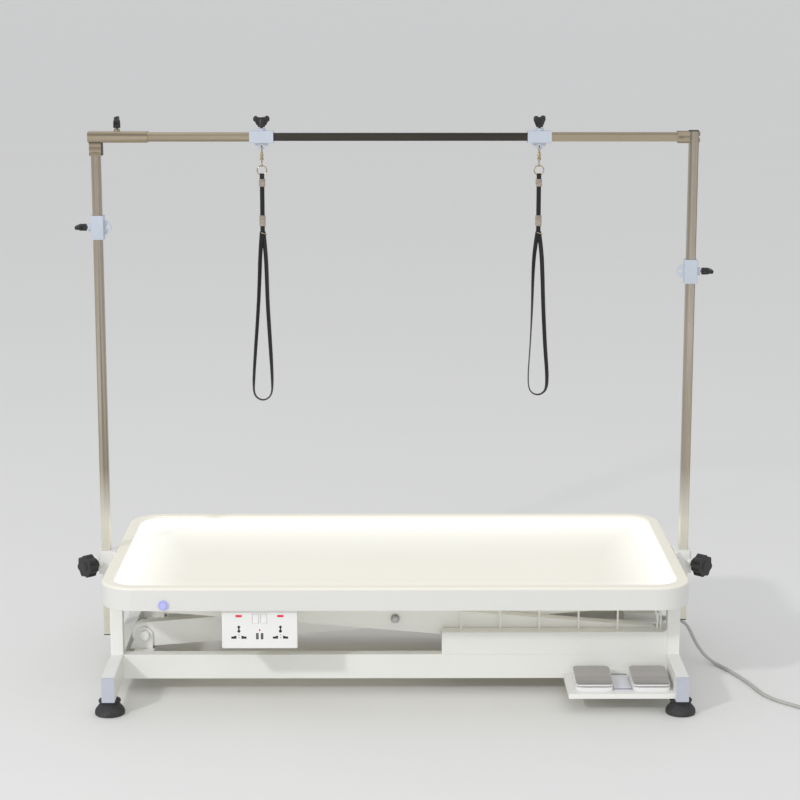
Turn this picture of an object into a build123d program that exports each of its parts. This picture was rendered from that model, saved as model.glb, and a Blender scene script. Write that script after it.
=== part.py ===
from build123d import *
import math
import os

# Electric scissor-lift grooming table at its lowest position.
# Millimetres. Origin on the floor under the table's centre, +X along the table's length,
# -Y towards the groomer's side with the sockets and pedals, +Z up.

# ---- driving dimensions -------------------------------------------------------------------
TOP_LENGTH = 1148.0
TOP_DEPTH = 600.0
TOP_HEIGHT = 250.0
APRON = 45.0
APRON_WALL = 4.0
TOP_CORNER = 70.0
RIM = 23.0
PANEL_RECESS = 4.5
PANEL_THICK = 6.0

RAIL_WIDE = 25.0
RAIL_HIGH = 50.0
RAIL_BOTTOM = 30.0
RAIL_WALL = 2.0
SIDE_RAIL_X = 554.0
SIDE_RAIL_REACH = 329.0
LONG_RAIL_Y = 170.5
FOOT_Y = 305.0
FOOT_R = 29.0

LINK = 1014.0
ARM_HIGH = 50.0
ARM_WIDE = 25.0
LOW_PIVOT_Z = 103.5
HIGH_PIVOT_Z = 186.0
ARM_A_Y = 109.5
ARM_B_Y = 136.5
PIN_R = 8.0
ROLLER_R = 20.0
ROLLER_WIDE = 16.0

TUBE = 18.0
TUBE_WALL = 1.2
POST_X = 595.0
LEFT_POST_Z = (69.0, 1075.0)
RIGHT_POST_Z = (100.0, 1105.0)
BAR_Z = 1094.0
JOINER = 15.4
CLAMP_X = (-265.0, 287.5)
EYE_CLAMP_Z = (914.0, 825.0)
STAR_Z = 222.0

PLATE_X = -262.5
PLATE_Z = (127.0, 213.0)
PLATE_LONG = 146.0
PLATE_FACE_Y = -291.0
BUTTON_X, BUTTON_Z = -447.0, 216.5

CORD_R = 3.5
RUNNING = 0.05
SLIDING = 0.3

# ---- worked-out places --------------------------------------------------------------------
TOP_UNDER = TOP_HEIGHT - APRON
RAIL_TOP = RAIL_BOTTOM + RAIL_HIGH
HALF_SPAN = math.sqrt(LINK**2 - (HIGH_PIVOT_Z - LOW_PIVOT_Z)**2) / 2
REST_TILT = math.degrees(math.asin((HIGH_PIVOT_Z - LOW_PIVOT_Z) / LINK))
MID_Z = (LOW_PIVOT_Z + HIGH_PIVOT_Z) / 2
RING_INSIDE_Y = TOP_DEPTH / 2 - APRON_WALL
RING_INSIDE_X = TOP_LENGTH / 2 - APRON_WALL
PANEL_TOP = TOP_HEIGHT - PANEL_RECESS
LEDGE_Z = PANEL_TOP - PANEL_THICK
LEDGE_THICK = 4.0
BEAM_Z = (212.0, 229.5)
INNER_RAIL_X = SIDE_RAIL_X - RAIL_WIDE / 2
FRONT_RAIL_FACE = -(LONG_RAIL_Y + RAIL_WIDE / 2)


# ---- small makers -------------------------------------------------------------------------
def span(x0, x1, y0, y1, z0, z1):
    """A block between two corners."""
    return Pos((x0 + x1) / 2, (y0 + y1) / 2, (z0 + z1) / 2) * Box(x1 - x0, y1 - y0, z1 - z0)


def rod(start, end, radius):
    """A round bar from one point to another."""
    run = Vector(*end) - Vector(*start)
    return Plane(origin=start, z_dir=run) * Pos(0, 0, run.length / 2) * Cylinder(radius, run.length)


def soft_block(block, radius, axis=Axis.Z):
    """A block with the edges along one axis rounded."""
    return fillet(block.edges().filter_by(axis), radius)


def square_tube(x0, x1, y0, y1, z0, z1, axis, wall, corner=0.0):
    """A rectangular tube along X, Y or Z, open at both ends."""
    outer = span(x0, x1, y0, y1, z0, z1)
    grow = {"X": (1, 0, 0), "Y": (0, 1, 0), "Z": (0, 0, 1)}[axis]
    dx, dy, dz = (1.0 if g else -wall for g in grow)
    inner = span(x0 - dx, x1 + dx, y0 - dy, y1 + dy, z0 - dz, z1 + dz)
    if corner:
        along = {"X": Axis.X, "Y": Axis.Y, "Z": Axis.Z}[axis]
        outer = soft_block(outer, corner, along)
    return outer - inner


def side_profile(points, x0, x1):
    """A Y-Z outline drawn out along X."""
    face = make_face(Polyline(*[(x0, y, z) for y, z in points], close=True))
    return extrude(face, x1 - x0, dir=(1, 0, 0))


def front_profile(points, y0, y1):
    """An X-Z outline drawn out along Y."""
    face = make_face(Polyline(*[(x, y0, z) for x, z in points], close=True))
    return extrude(face, y1 - y0, dir=(0, 1, 0))


def both_sides(solid):
    """A front solid and its mirror image at the rear."""
    return [solid, mirror(solid, about=Plane.XZ)]


def both_ends(solid):
    """A right-hand solid and its mirror image at the left."""
    return [solid, mirror(solid, about=Plane.YZ)]


def torus_at(centre, normal, mean_r, wire_r):
    return Plane(origin=centre, z_dir=normal) * Torus(mean_r, wire_r)


def write(name, *solids):
    pieces = [s for group in solids for s in (group if isinstance(group, list) else [group])]
    whole = [solid for piece in pieces for solid in piece.solids()]
    shape = whole[0] if len(whole) == 1 else Compound(children=whole)
    export_step(shape, os.path.join("parts", name + ".step"))


# ---- base ---------------------------------------------------------------------------------
CROSS_MEMBER_TOP = 75.0
CROSS_MEMBER_X = (-HALF_SPAN, 150.0)
CROSS_MEMBER_HALF = 20.0
TRACK_X = (120.0, INNER_RAIL_X)
TRACK_SHEET = 3.0
TRACK_REACH = 18.5
BASE_WEB_Y = -104.0
ROLLER_PLAY = 0.5
COLUMN_TOP = TOP_UNDER - 0.3


def roller_track(z_pivot, web_y, top_sheet, bottom_sheet):
    """A C channel for the roller, open towards the front arms."""
    low = z_pivot - ROLLER_R - ROLLER_PLAY
    high = z_pivot + ROLLER_R + ROLLER_PLAY
    front = web_y - TRACK_REACH
    sheets = span(*TRACK_X, front, web_y + TRACK_SHEET, low - bottom_sheet, low)
    sheets += span(*TRACK_X, front, web_y + TRACK_SHEET, high, high + top_sheet)
    return sheets + span(*TRACK_X, web_y, web_y + TRACK_SHEET, low, high)


PLATE_NOSE_R = 16.0


def pivot_plate(y0, y1, z_pivot, z_far, left, right):
    """A bracket plate that reaches left and right of its pin where it is welded on, with a round end."""
    x = -HALF_SPAN
    points = [(x - left, z_far), (x + right, z_far), (x + PLATE_NOSE_R, z_pivot), (x - PLATE_NOSE_R, z_pivot)]
    plate = front_profile(points, y0, y1)
    plate += rod((x, y0, z_pivot), (x, y1, z_pivot), PLATE_NOSE_R)
    return plate - rod((x, y0 - 1, z_pivot), (x, y1 + 1, z_pivot), PIN_R + RUNNING)


def base_frame():
    half = RAIL_WIDE / 2
    side = square_tube(SIDE_RAIL_X - half, SIDE_RAIL_X + half, -SIDE_RAIL_REACH + 2, SIDE_RAIL_REACH - 2,
                       RAIL_BOTTOM, RAIL_TOP, "Y", RAIL_WALL, 1.5)
    for y in (-FOOT_Y, FOOT_Y):
        side -= rod((SIDE_RAIL_X, y, RAIL_BOTTOM - 5), (SIDE_RAIL_X, y, RAIL_BOTTOM + 5), 5.1)
    long_rail = square_tube(-INNER_RAIL_X, INNER_RAIL_X, FRONT_RAIL_FACE, FRONT_RAIL_FACE + RAIL_WIDE,
                            RAIL_BOTTOM, RAIL_TOP, "X", RAIL_WALL, 1.5)
    reach = LONG_RAIL_Y - half
    members = [square_tube(x - CROSS_MEMBER_HALF, x + CROSS_MEMBER_HALF, -reach, reach, CROSS_MEMBER_TOP - 25,
                           CROSS_MEMBER_TOP, "Y", RAIL_WALL) for x in CROSS_MEMBER_X]
    track = roller_track(LOW_PIVOT_Z, BASE_WEB_Y, TRACK_SHEET, TRACK_SHEET)
    pad = span(CROSS_MEMBER_X[1] - CROSS_MEMBER_HALF, CROSS_MEMBER_X[1] + CROSS_MEMBER_HALF,
               BASE_WEB_Y - TRACK_REACH, BASE_WEB_Y + TRACK_SHEET, CROSS_MEMBER_TOP,
               LOW_PIVOT_Z - ROLLER_R - ROLLER_PLAY - TRACK_SHEET)
    plates = [pivot_plate(y, y + 4, LOW_PIVOT_Z, CROSS_MEMBER_TOP, 30, PLATE_NOSE_R) for y in (-127, -96)]
    pin = rod((-HALF_SPAN, -131, LOW_PIVOT_Z), (-HALF_SPAN, -88, LOW_PIVOT_Z), PIN_R)
    pin += rod((-HALF_SPAN, -131, LOW_PIVOT_Z), (-HALF_SPAN, -127, LOW_PIVOT_Z), PIN_R + 3)
    mirrored = [piece for near in plates + [pin, long_rail, track, pad] for piece in both_sides(near)]
    write("base_frame", both_ends(side), members, mirrored)


def corner_columns():
    half = RAIL_WIDE / 2
    column = square_tube(SIDE_RAIL_X - half, SIDE_RAIL_X + half, FRONT_RAIL_FACE, FRONT_RAIL_FACE + RAIL_WIDE,
                         RAIL_TOP, COLUMN_TOP - 3, "Z", RAIL_WALL, 1.5)
    lid = span(SIDE_RAIL_X - half, SIDE_RAIL_X + half, FRONT_RAIL_FACE, FRONT_RAIL_FACE + RAIL_WIDE,
               COLUMN_TOP - 3, COLUMN_TOP)
    right = column + soft_block(lid, 1.5)
    write("corner_columns", [piece for near in both_ends(right) for piece in both_sides(near)])


def rail_end_caps():
    half = RAIL_WIDE / 2
    skirt = RAIL_WALL + 0.1
    plate = span(SIDE_RAIL_X - half, SIDE_RAIL_X + half, -SIDE_RAIL_REACH, -SIDE_RAIL_REACH + 2,
                 RAIL_BOTTOM, RAIL_TOP)
    plate = soft_block(plate, 1.5, Axis.Y)
    plug = span(SIDE_RAIL_X - half + skirt, SIDE_RAIL_X + half - skirt, -SIDE_RAIL_REACH + 2,
                -SIDE_RAIL_REACH + 14, RAIL_BOTTOM + skirt, RAIL_TOP - skirt)
    cap = plate + plug
    write("rail_end_caps", [piece for near in both_ends(cap) for piece in both_sides(near)])


def foot(name, x, y):
    """A rubber bell on a threaded stud that screws up into the side rail."""
    top = RAIL_BOTTOM - 0.2
    bell = make_face(Polyline((0, 0), (FOOT_R - 2, 0), (FOOT_R, 2), (FOOT_R, 6), (26, 12), (19.5, 19),
                              (17.5, 22), (17.5, top), (0, top), close=True))
    rubber = revolve(Plane.XZ * bell, Axis.Z)
    stud_hole = rod((0, 0, 12), (0, 0, top + 1), 5.0)
    stud = rod((0, 0, 12), (0, 0, 56), 5.0)
    write(name, Pos(x, y, 0) * (rubber - stud_hole), Pos(x, y, 0) * stud)


TRAY_X0 = 93.0
TRAY_Z = (80.0, 126.0)
TRAY_BACK = -151.0
RACK_Y = -165.0
RACK_TOP = 198.0
RACK_PITCH = 78.3
RACK_X0 = 131.0
RACK_BARS = 5
RACK_WIRE = 2.0


def tray_rail():
    """The closed box rail that lies on the right half of the front rail, with a coved end."""
    box = span(TRAY_X0, INNER_RAIL_X, FRONT_RAIL_FACE, TRAY_BACK, *TRAY_Z)
    box = fillet(box.edges().filter_by(Axis.X).group_by(Axis.Z)[-1], 2.5)
    box -= span(TRAY_X0 + 2, INNER_RAIL_X + 1, FRONT_RAIL_FACE + 2, TRAY_BACK - 2, TRAY_Z[0] + 2, TRAY_Z[1] - 2)
    cove = 9.0
    gusset = span(INNER_RAIL_X - cove, INNER_RAIL_X, FRONT_RAIL_FACE, TRAY_BACK, TRAY_Z[1] - 1,
                  TRAY_Z[1] + cove)
    gusset -= rod((INNER_RAIL_X - cove, FRONT_RAIL_FACE - 1, TRAY_Z[1] + cove),
                  (INNER_RAIL_X - cove, TRAY_BACK + 1, TRAY_Z[1] + cove), cove)
    write("tray_rail", box + gusset)


def tool_rack():
    """Upright wires on the box rail under one long top wire, with a bowed pair at the end."""
    foot_z = TRAY_Z[1]
    last = RACK_X0 + RACK_PITCH * RACK_BARS
    rack = rod((RACK_X0 - 14, RACK_Y, RACK_TOP), (last + 12, RACK_Y, RACK_TOP), RACK_WIRE)
    for k in range(RACK_BARS):
        x = RACK_X0 + RACK_PITCH * k
        rack += rod((x, RACK_Y, foot_z), (x, RACK_Y, RACK_TOP), RACK_WIRE)
    for lean in (-14.0, 0.0):
        bow = FilletPolyline((last + lean, RACK_Y, RACK_TOP), (last + 8 + lean / 2, RACK_Y, foot_z + 26),
                             (last + 8 + lean / 2, RACK_Y, foot_z), radius=30)
        rack += sweep(Plane(origin=bow @ 0, z_dir=bow % 0) * Circle(RACK_WIRE), path=bow)
    write("tool_rack", rack)


BOX_Y = (-60.0, 85.0)
GLAND_Y, GLAND_Z = 28.0, 91.0


def control_box():
    box = soft_block(span(468, INNER_RAIL_X, *BOX_Y, 50, 128), 3)
    box -= span(470.5, INNER_RAIL_X - 2.5, BOX_Y[0] + 2.5, BOX_Y[1] - 2.5, 52.5, 125.5)
    write("control_box", box)


GLAND_NUT = 7.0
RELIEF = 23.0
CORD_START = INNER_RAIL_X + GLAND_NUT + RELIEF


def cable_gland():
    """A hex nut on the control box and a tapered strain relief."""
    face = INNER_RAIL_X
    nut = Plane(origin=(face, GLAND_Y, GLAND_Z), z_dir=(1, 0, 0)) * extrude(RegularPolygon(10.5, 6), GLAND_NUT)
    taper = Cone(7.5, CORD_R + 1.0, RELIEF)
    sleeve = Plane(origin=(face + GLAND_NUT, GLAND_Y, GLAND_Z), z_dir=(1, 0, 0)) * Pos(0, 0, RELIEF / 2) * taper
    write("cable_gland", nut + sleeve)


# ---- mains lead ---------------------------------------------------------------------------
FLOOR_Z = CORD_R + 0.1
COIL_X, COIL_Y = 872.0, -296.0
COIL_R = (28.0, 49.5)
COIL_HIGH = 14.2
PLUG_Y = -246.0
PLUG_AXIS_Z = 8.5
LEAD_OUT = [
    (CORD_START, GLAND_Y, GLAND_Z), (582.0, GLAND_Y, GLAND_Z), (594.5, GLAND_Y, 88.2), (607.5, 28.0, 80.0),
    (617.0, 27.4, 66.5), (625.0, 25.5, 49.0), (635.0, 21.0, 30.5), (648.0, 11.0, 15.0), (663.0, -6.0, 5.0),
    (678.0, -31.0, FLOOR_Z), (694.0, -70.0, FLOOR_Z), (709.0, -114.0, FLOOR_Z), (721.0, -160.0, FLOOR_Z),
    (731.0, -206.0, FLOOR_Z), (752.0, -243.0, FLOOR_Z), (782.0, -274.0, FLOOR_Z), (811.0, -304.0, FLOOR_Z),
    (COIL_X - 32.2, COIL_Y - 32.2, FLOOR_Z),
]
LEAD_END = [
    (COIL_X + 45.5, COIL_Y, COIL_HIGH - 3.8), (COIL_X + 46.0, COIL_Y + 14, COIL_HIGH - 4.6),
    (COIL_X + 45.0, COIL_Y + 30, PLUG_AXIS_Z), (COIL_X + 45.0, PLUG_Y, PLUG_AXIS_Z),
]


def arc_radii(points):
    """The largest arc that the two runs at each corner of a route leave room for."""
    spots = [Vector(*p) for p in points]
    radii = []
    for before, here, after in zip(spots, spots[1:], spots[2:]):
        turn = math.radians((here - before).get_angle(after - here))
        shorter = min((here - before).length, (after - here).length)
        radii.append(0.45 * shorter / math.tan(turn / 2))
    print("arc radii", [round(r) for r in radii], "runs",
          [round((b - a).length) for a, b in zip(spots, spots[1:])])
    return radii


def lead_tube(points):
    """A round tube along straight runs joined by arcs as large as the runs allow."""
    path = FilletPolyline(*points, radius=arc_radii(points))
    tube = sweep(Plane(origin=path @ 0, z_dir=path % 0) * Circle(CORD_R), path=path)
    print("lead length", round(path.length), "volume ratio",
          round(tube.volume / (math.pi * CORD_R**2 * path.length), 4))
    return tube


def mains_lead():
    write("mains_lead", lead_tube(LEAD_OUT), lead_tube(LEAD_END))
    section = span(COIL_R[0], COIL_R[1], -0.5, 0.5, 0, COIL_HIGH).faces().filter_by(Plane.XZ)[0]
    ring = revolve(section, Axis.Z)
    ring = fillet(ring.edges(), 3.0)
    write("mains_coil", Pos(COIL_X, COIL_Y, 0) * ring)
    x = COIL_X + 45.0
    body = soft_block(span(x - 14, x + 14, PLUG_Y, PLUG_Y + 40, 0, 2 * PLUG_AXIS_Z), 5, Axis.Y)
    pins = [rod((x + s, PLUG_Y + 40, PLUG_AXIS_Z), (x + s, PLUG_Y + 58, PLUG_AXIS_Z), 2.2) for s in (-9.5, 9.5)]
    write("mains_plug", body, pins)


# ---- foot pedals --------------------------------------------------------------------------
PEDAL_TRAY_X = 336.0
PEDAL_TRAY_FRONT = -312.0
PEDAL_TRAY_Z = (31.0, 41.0)
PEDAL_X = ((350.5, 424.5), (461.5, 535.5))
PEDAL_Y = (-299.0, -203.0)
PEDAL_LIP = 3.5


def pedal_tray():
    low, high = PEDAL_TRAY_Z
    tray = span(PEDAL_TRAY_X, INNER_RAIL_X, PEDAL_TRAY_FRONT, FRONT_RAIL_FACE, low, high)
    tray = fillet(tray.edges().filter_by(Axis.Z).group_by(Axis.Y)[0].group_by(Axis.X)[0], 4)
    tray -= span(PEDAL_TRAY_X + 2, INNER_RAIL_X - 2, PEDAL_TRAY_FRONT + 2, FRONT_RAIL_FACE - 2, low - 1, high - 2)
    tray += span(PEDAL_TRAY_X + 8, INNER_RAIL_X, FRONT_RAIL_FACE - 2, FRONT_RAIL_FACE, high, high + 8)
    write("pedal_tray", tray)


def pedal_housings():
    base = PEDAL_TRAY_Z[1]
    front, rear = PEDAL_Y
    outline = [(front, base), (rear, base), (rear, base + 15), (front, base + 7)]
    housings = []
    for x0, x1 in PEDAL_X:
        block = side_profile(outline, x0, x1)
        housings.append(fillet(block.edges().filter_by(Axis.Z), 7))
    bridge = span(PEDAL_X[0][1] + 1.5, PEDAL_X[1][0] - 1.5, front + 6, rear + 4, base, base + 3)
    write("pedal_housings", housings, bridge)


def pedals():
    base = PEDAL_TRAY_Z[1]
    front, rear = PEDAL_Y
    outline = [(front, base + 11), (rear, base + 18.5), (rear, base + 22), (front, base + 11 + PEDAL_LIP)]
    for name, (x0, x1) in zip(("pedal_left", "pedal_right"), PEDAL_X):
        block = side_profile(outline, x0, x1)
        write(name, fillet(block.edges().filter_by(Axis.Z), 7))


# ---- scissor ------------------------------------------------------------------------------
def scissor_arm(y_centre, rising):
    """One hollow arm with round ends and three pin holes, laid at its rest tilt."""
    tilt = -REST_TILT if rising else REST_TILT
    def slab(high, wide, reach):
        outline = Plane.XZ * SlotCenterToCenter(LINK + reach, high)
        return extrude(outline, wide / 2, both=True)
    arm = slab(ARM_HIGH, ARM_WIDE, 0) - slab(ARM_HIGH - 4, ARM_WIDE - 4, 0)
    for x in (-LINK / 2, 0, LINK / 2):
        arm -= rod((x, -ARM_WIDE, 0), (x, ARM_WIDE, 0), PIN_R + RUNNING)
    return Pos(0, y_centre, MID_Z) * Rot(0, tilt, 0) * arm


def along_arm(from_left, rising):
    """The rest place of a point on an arm's centre line, measured from its left pivot."""
    share = from_left / LINK
    low, high = LOW_PIVOT_Z, HIGH_PIVOT_Z
    z = low + (high - low) * share if rising else high - (high - low) * share
    return -HALF_SPAN + 2 * HALF_SPAN * share, z


PUSH_X, PUSH_Z = 85.9, 121.0
PUSH_R = 12.5
ACTUATOR_X, ACTUATOR_Z = -202.7, 203.0
EYE_CLEARANCE = 2.1
ARM_A_INNER = ARM_A_Y - ARM_WIDE / 2
ARM_B_INNER = ARM_B_Y - ARM_WIDE / 2


def arm_a():
    write("scissor_arms_a", both_sides(scissor_arm(-ARM_A_Y, True)))
    x, z = along_arm(90, True)
    tie = rod((x, -ARM_A_INNER, z), (x, ARM_A_INNER, z), 15) - rod((x, -200, z), (x, 200, z), 13)
    push = rod((PUSH_X, -ARM_A_INNER, PUSH_Z), (PUSH_X, ARM_A_INNER, PUSH_Z), PUSH_R)
    centre = rod((0, -153, MID_Z), (0, -95, MID_Z), PIN_R)
    centre += rod((0, -155, MID_Z), (0, -151, MID_Z), PIN_R + 0.5)
    axle = rod((HALF_SPAN, -122.5, HIGH_PIVOT_Z), (HALF_SPAN, -77.5, HIGH_PIVOT_Z), PIN_R)
    write("arm_a_shafts", tie, push, both_sides(centre), both_sides(axle))
    write("top_rollers", both_sides(roller(-94, HIGH_PIVOT_Z)))


def arm_b():
    write("scissor_arms_b", both_sides(scissor_arm(-ARM_B_Y, False)))
    x, z = along_arm(60, False)
    tie = rod((x, -ARM_B_INNER, z), (x, ARM_B_INNER, z), 15) - rod((x, -200, z), (x, 200, z), 13)
    axle = rod((HALF_SPAN, -149.5, LOW_PIVOT_Z), (HALF_SPAN, -105.5, LOW_PIVOT_Z), PIN_R)
    write("arm_b_shafts", tie, both_sides(axle))
    write("base_rollers", both_sides(roller(-122, LOW_PIVOT_Z)))


def roller(front, z):
    wheel = rod((HALF_SPAN, front, z), (HALF_SPAN, front + ROLLER_WIDE, z), ROLLER_R)
    return wheel - rod((HALF_SPAN, front - 1, z), (HALF_SPAN, front + ROLLER_WIDE + 1, z), PIN_R + RUNNING)


def actuator():
    """The electric actuator: its body hangs from the top frame and its rod pushes arm A."""
    reach = Vector(PUSH_X - ACTUATOR_X, 0, PUSH_Z - ACTUATOR_Z)
    line = Plane(origin=(ACTUATOR_X, 0, ACTUATOR_Z), x_dir=(0, 1, 0), z_dir=reach)
    rod_r, bore = 9.0, 9.0 + RUNNING
    body = Pos(0, 0, 20) * Box(14, 12, 34)
    body += rod((-7, 0, 0), (7, 0, 0), 13)
    body += Pos(0, 0, 58) * soft_block(Box(54, 44, 44), 5)
    body += Pos(0, 0, 160) * Cylinder(19, 172)
    body += Pos(56, 0, 74) * Cylinder(22, 76)
    body -= Pos(0, 0, 170) * Cylinder(bore, 170)
    body -= rod((-20, 0, 0), (20, 0, 0), PIN_R + RUNNING)
    write("actuator_body", line * body)
    length = reach.length
    eye_r = PUSH_R + EYE_CLEARANCE
    shaft = Pos(0, 0, (100 + length - 20) / 2) * Cylinder(rod_r, length - 20 - 100)
    shaft += rod((-12, 0, length), (12, 0, length), eye_r + 6)
    shaft -= rod((-13, 0, length), (13, 0, length), eye_r)
    write("actuator_rod", line * shaft)


# ---- tabletop -----------------------------------------------------------------------------
def rounded_slab(length, depth, corner, z0, z1):
    return soft_block(span(-length / 2, length / 2, -depth / 2, depth / 2, z0, z1), corner)


def tabletop():
    shell = rounded_slab(TOP_LENGTH, TOP_DEPTH, TOP_CORNER, TOP_UNDER, TOP_HEIGHT)
    shell = fillet(shell.edges().group_by(Axis.Z)[-1], 5)
    inner_l, inner_d, inner_c = TOP_LENGTH - 2 * RIM, TOP_DEPTH - 2 * RIM, TOP_CORNER - RIM
    shell -= rounded_slab(inner_l, inner_d, inner_c, LEDGE_Z, TOP_HEIGHT + 1)
    shell -= rounded_slab(inner_l - 24, inner_d - 24, inner_c - 12, TOP_UNDER - 1, TOP_HEIGHT)
    shell -= rounded_slab(TOP_LENGTH - 2 * APRON_WALL, TOP_DEPTH - 2 * APRON_WALL, TOP_CORNER - APRON_WALL,
                          TOP_UNDER - 1, LEDGE_Z - LEDGE_THICK)
    shell -= rod((BUTTON_X, -TOP_DEPTH / 2 - 1, BUTTON_Z), (BUTTON_X, -RING_INSIDE_Y + 1, BUTTON_Z), 8.05)
    write("tabletop_frame", shell)
    write("light_panel", rounded_slab(inner_l - 1, inner_d - 1, inner_c - 0.5, LEDGE_Z, PANEL_TOP))
    reflector = rounded_slab(inner_l - 26, inner_d - 26, 30, BEAM_Z[1], BEAM_Z[1] + 1.5)
    edge_x, edge_y = (inner_l - 60) / 2, (inner_d - 60) / 2
    strip_z = (BEAM_Z[1] + 1.5, BEAM_Z[1] + 4.5)
    long_strip = span(-edge_x + 20, edge_x - 20, -edge_y - 6, -edge_y + 6, *strip_z)
    end_strip = span(edge_x - 6, edge_x + 6, -edge_y + 20, edge_y - 20, *strip_z)
    write("led_tray", reflector, both_sides(long_strip), both_ends(end_strip))


def underframe():
    """Beams under the light panel, with the upper rollers' channels and the upper pivot brackets."""
    long_beam = square_tube(-RING_INSIDE_X, RING_INSIDE_X, -93, -73, *BEAM_Z, "X", RAIL_WALL)
    pieces = both_sides(long_beam)
    for x in (-490.0, 0.0, 490.0):
        pieces.append(square_tube(x - 10, x + 10, -RING_INSIDE_Y, -93, *BEAM_Z, "Y", RAIL_WALL))
        pieces.append(square_tube(x - 10, x + 10, 93, RING_INSIDE_Y, *BEAM_Z, "Y", RAIL_WALL))
        pieces.append(square_tube(x - 10, x + 10, -73, 73, *BEAM_Z, "Y", RAIL_WALL))
    track = roller_track(HIGH_PIVOT_Z, -76.0, BEAM_Z[0] - HIGH_PIVOT_Z - ROLLER_R - ROLLER_PLAY, TRACK_SHEET)
    for y0, y1 in ((-14, -9), (9, 14)):
        cheek = front_profile([(ACTUATOR_X - 24, BEAM_Z[1]), (ACTUATOR_X - 14, ACTUATOR_Z - 14),
                               (ACTUATOR_X + 14, ACTUATOR_Z - 14), (ACTUATOR_X + 24, BEAM_Z[1])], y0, y1)
        pieces.append(cheek - rod((ACTUATOR_X, -20, ACTUATOR_Z), (ACTUATOR_X, 20, ACTUATOR_Z), PIN_R))
    pieces.append(span(ACTUATOR_X + 24, ACTUATOR_X + 32, -73, 73, *BEAM_Z))
    pieces.append(span(ACTUATOR_X - 32, ACTUATOR_X - 24, -73, 73, *BEAM_Z))
    x = -HALF_SPAN
    hanger = [(x - 14, BEAM_Z[0]), (x + 44, BEAM_Z[0]), (x + 26, 167), (x - 11, 167)]
    front = front_profile(hanger, -155, -151) - rod((x, -156, HIGH_PIVOT_Z), (x, -150, HIGH_PIVOT_Z), PIN_R + RUNNING)
    back = pivot_plate(-122, -118, HIGH_PIVOT_Z, BEAM_Z[0], 36, 36)
    pin = rod((x, -159, HIGH_PIVOT_Z), (x, -114, HIGH_PIVOT_Z), PIN_R)
    pin += rod((x, -159, HIGH_PIVOT_Z), (x, -155, HIGH_PIVOT_Z), PIN_R + 3)
    hinge = rod((ACTUATOR_X, -16, ACTUATOR_Z), (ACTUATOR_X, 16, ACTUATOR_Z), PIN_R)
    mirrored = [piece for near in (track, front, back, pin) for piece in both_sides(near)]
    write("underframe", pieces, mirrored, hinge)


SOCKET_Z = (200.0, 248.0)
SLEEVE = 30.0


def post_sockets():
    half = SLEEVE / 2
    sleeve = soft_block(span(POST_X - half, POST_X + half, -half, half, *SOCKET_Z), 3)
    plate = soft_block(span(TOP_LENGTH / 2, POST_X - half, -26, 26, *SOCKET_Z), 2, Axis.X)
    body = sleeve + plate + star_axis() * Pos(0, 0, 20.5) * Cylinder(8.5, 9)
    bore = TUBE / 2 + SLIDING
    body -= span(POST_X - bore, POST_X + bore, -bore, bore, SOCKET_Z[0] - 1, SOCKET_Z[1] + 1)
    body -= star_axis() * Pos(0, 0, 20) * Cylinder(4.05, 20)
    write("post_sockets", both_ends(body))


def star_axis():
    """The slanting line of the right clamping screw, from the post's centre out towards the front."""
    return Plane(origin=(POST_X, 0, STAR_Z), z_dir=(1, -1, 0))


def star_knobs():
    grip_z, hub_long, screw_tip = 48.0, 12.0, 12.7
    knob = Pos(0, 0, grip_z) * Cylinder(17, 20)
    for k in range(7):
        turn = 2 * math.pi * k / 7
        knob += Pos(17.5 * math.cos(turn), 17.5 * math.sin(turn), grip_z) * Cylinder(6, 20)
    hub_z = grip_z - 10 - hub_long / 2
    screw_end = grip_z + 2.5
    screw = Pos(0, 0, (screw_tip + screw_end) / 2) * Cylinder(4, screw_end - screw_tip)
    knob = knob + Pos(0, 0, hub_z) * Cone(9, 11, hub_long) - screw
    for name, pieces in zip(("star_knob_right", "star_knob_left"), zip(both_ends(star_axis() * knob),
                                                                       both_ends(star_axis() * screw))):
        write(name, list(pieces))


# ---- power box on the tabletop ------------------------------------------------------------
ROCKER_DX, ROCKER_Z = 7.9, 187.0
ROCKER_HALF = (6.0, 9.0)
SOCKET_DX, PIN_ROW_Z = 40.2, 149.7
PIN_SLOT = [(-5.0, -3.3), (5.0, -3.3), (5.0, 1.1), (0.5, 1.3), (-4.0, 3.0), (-5.0, 3.0)]
PLATE_THICK = 8.0


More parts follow.
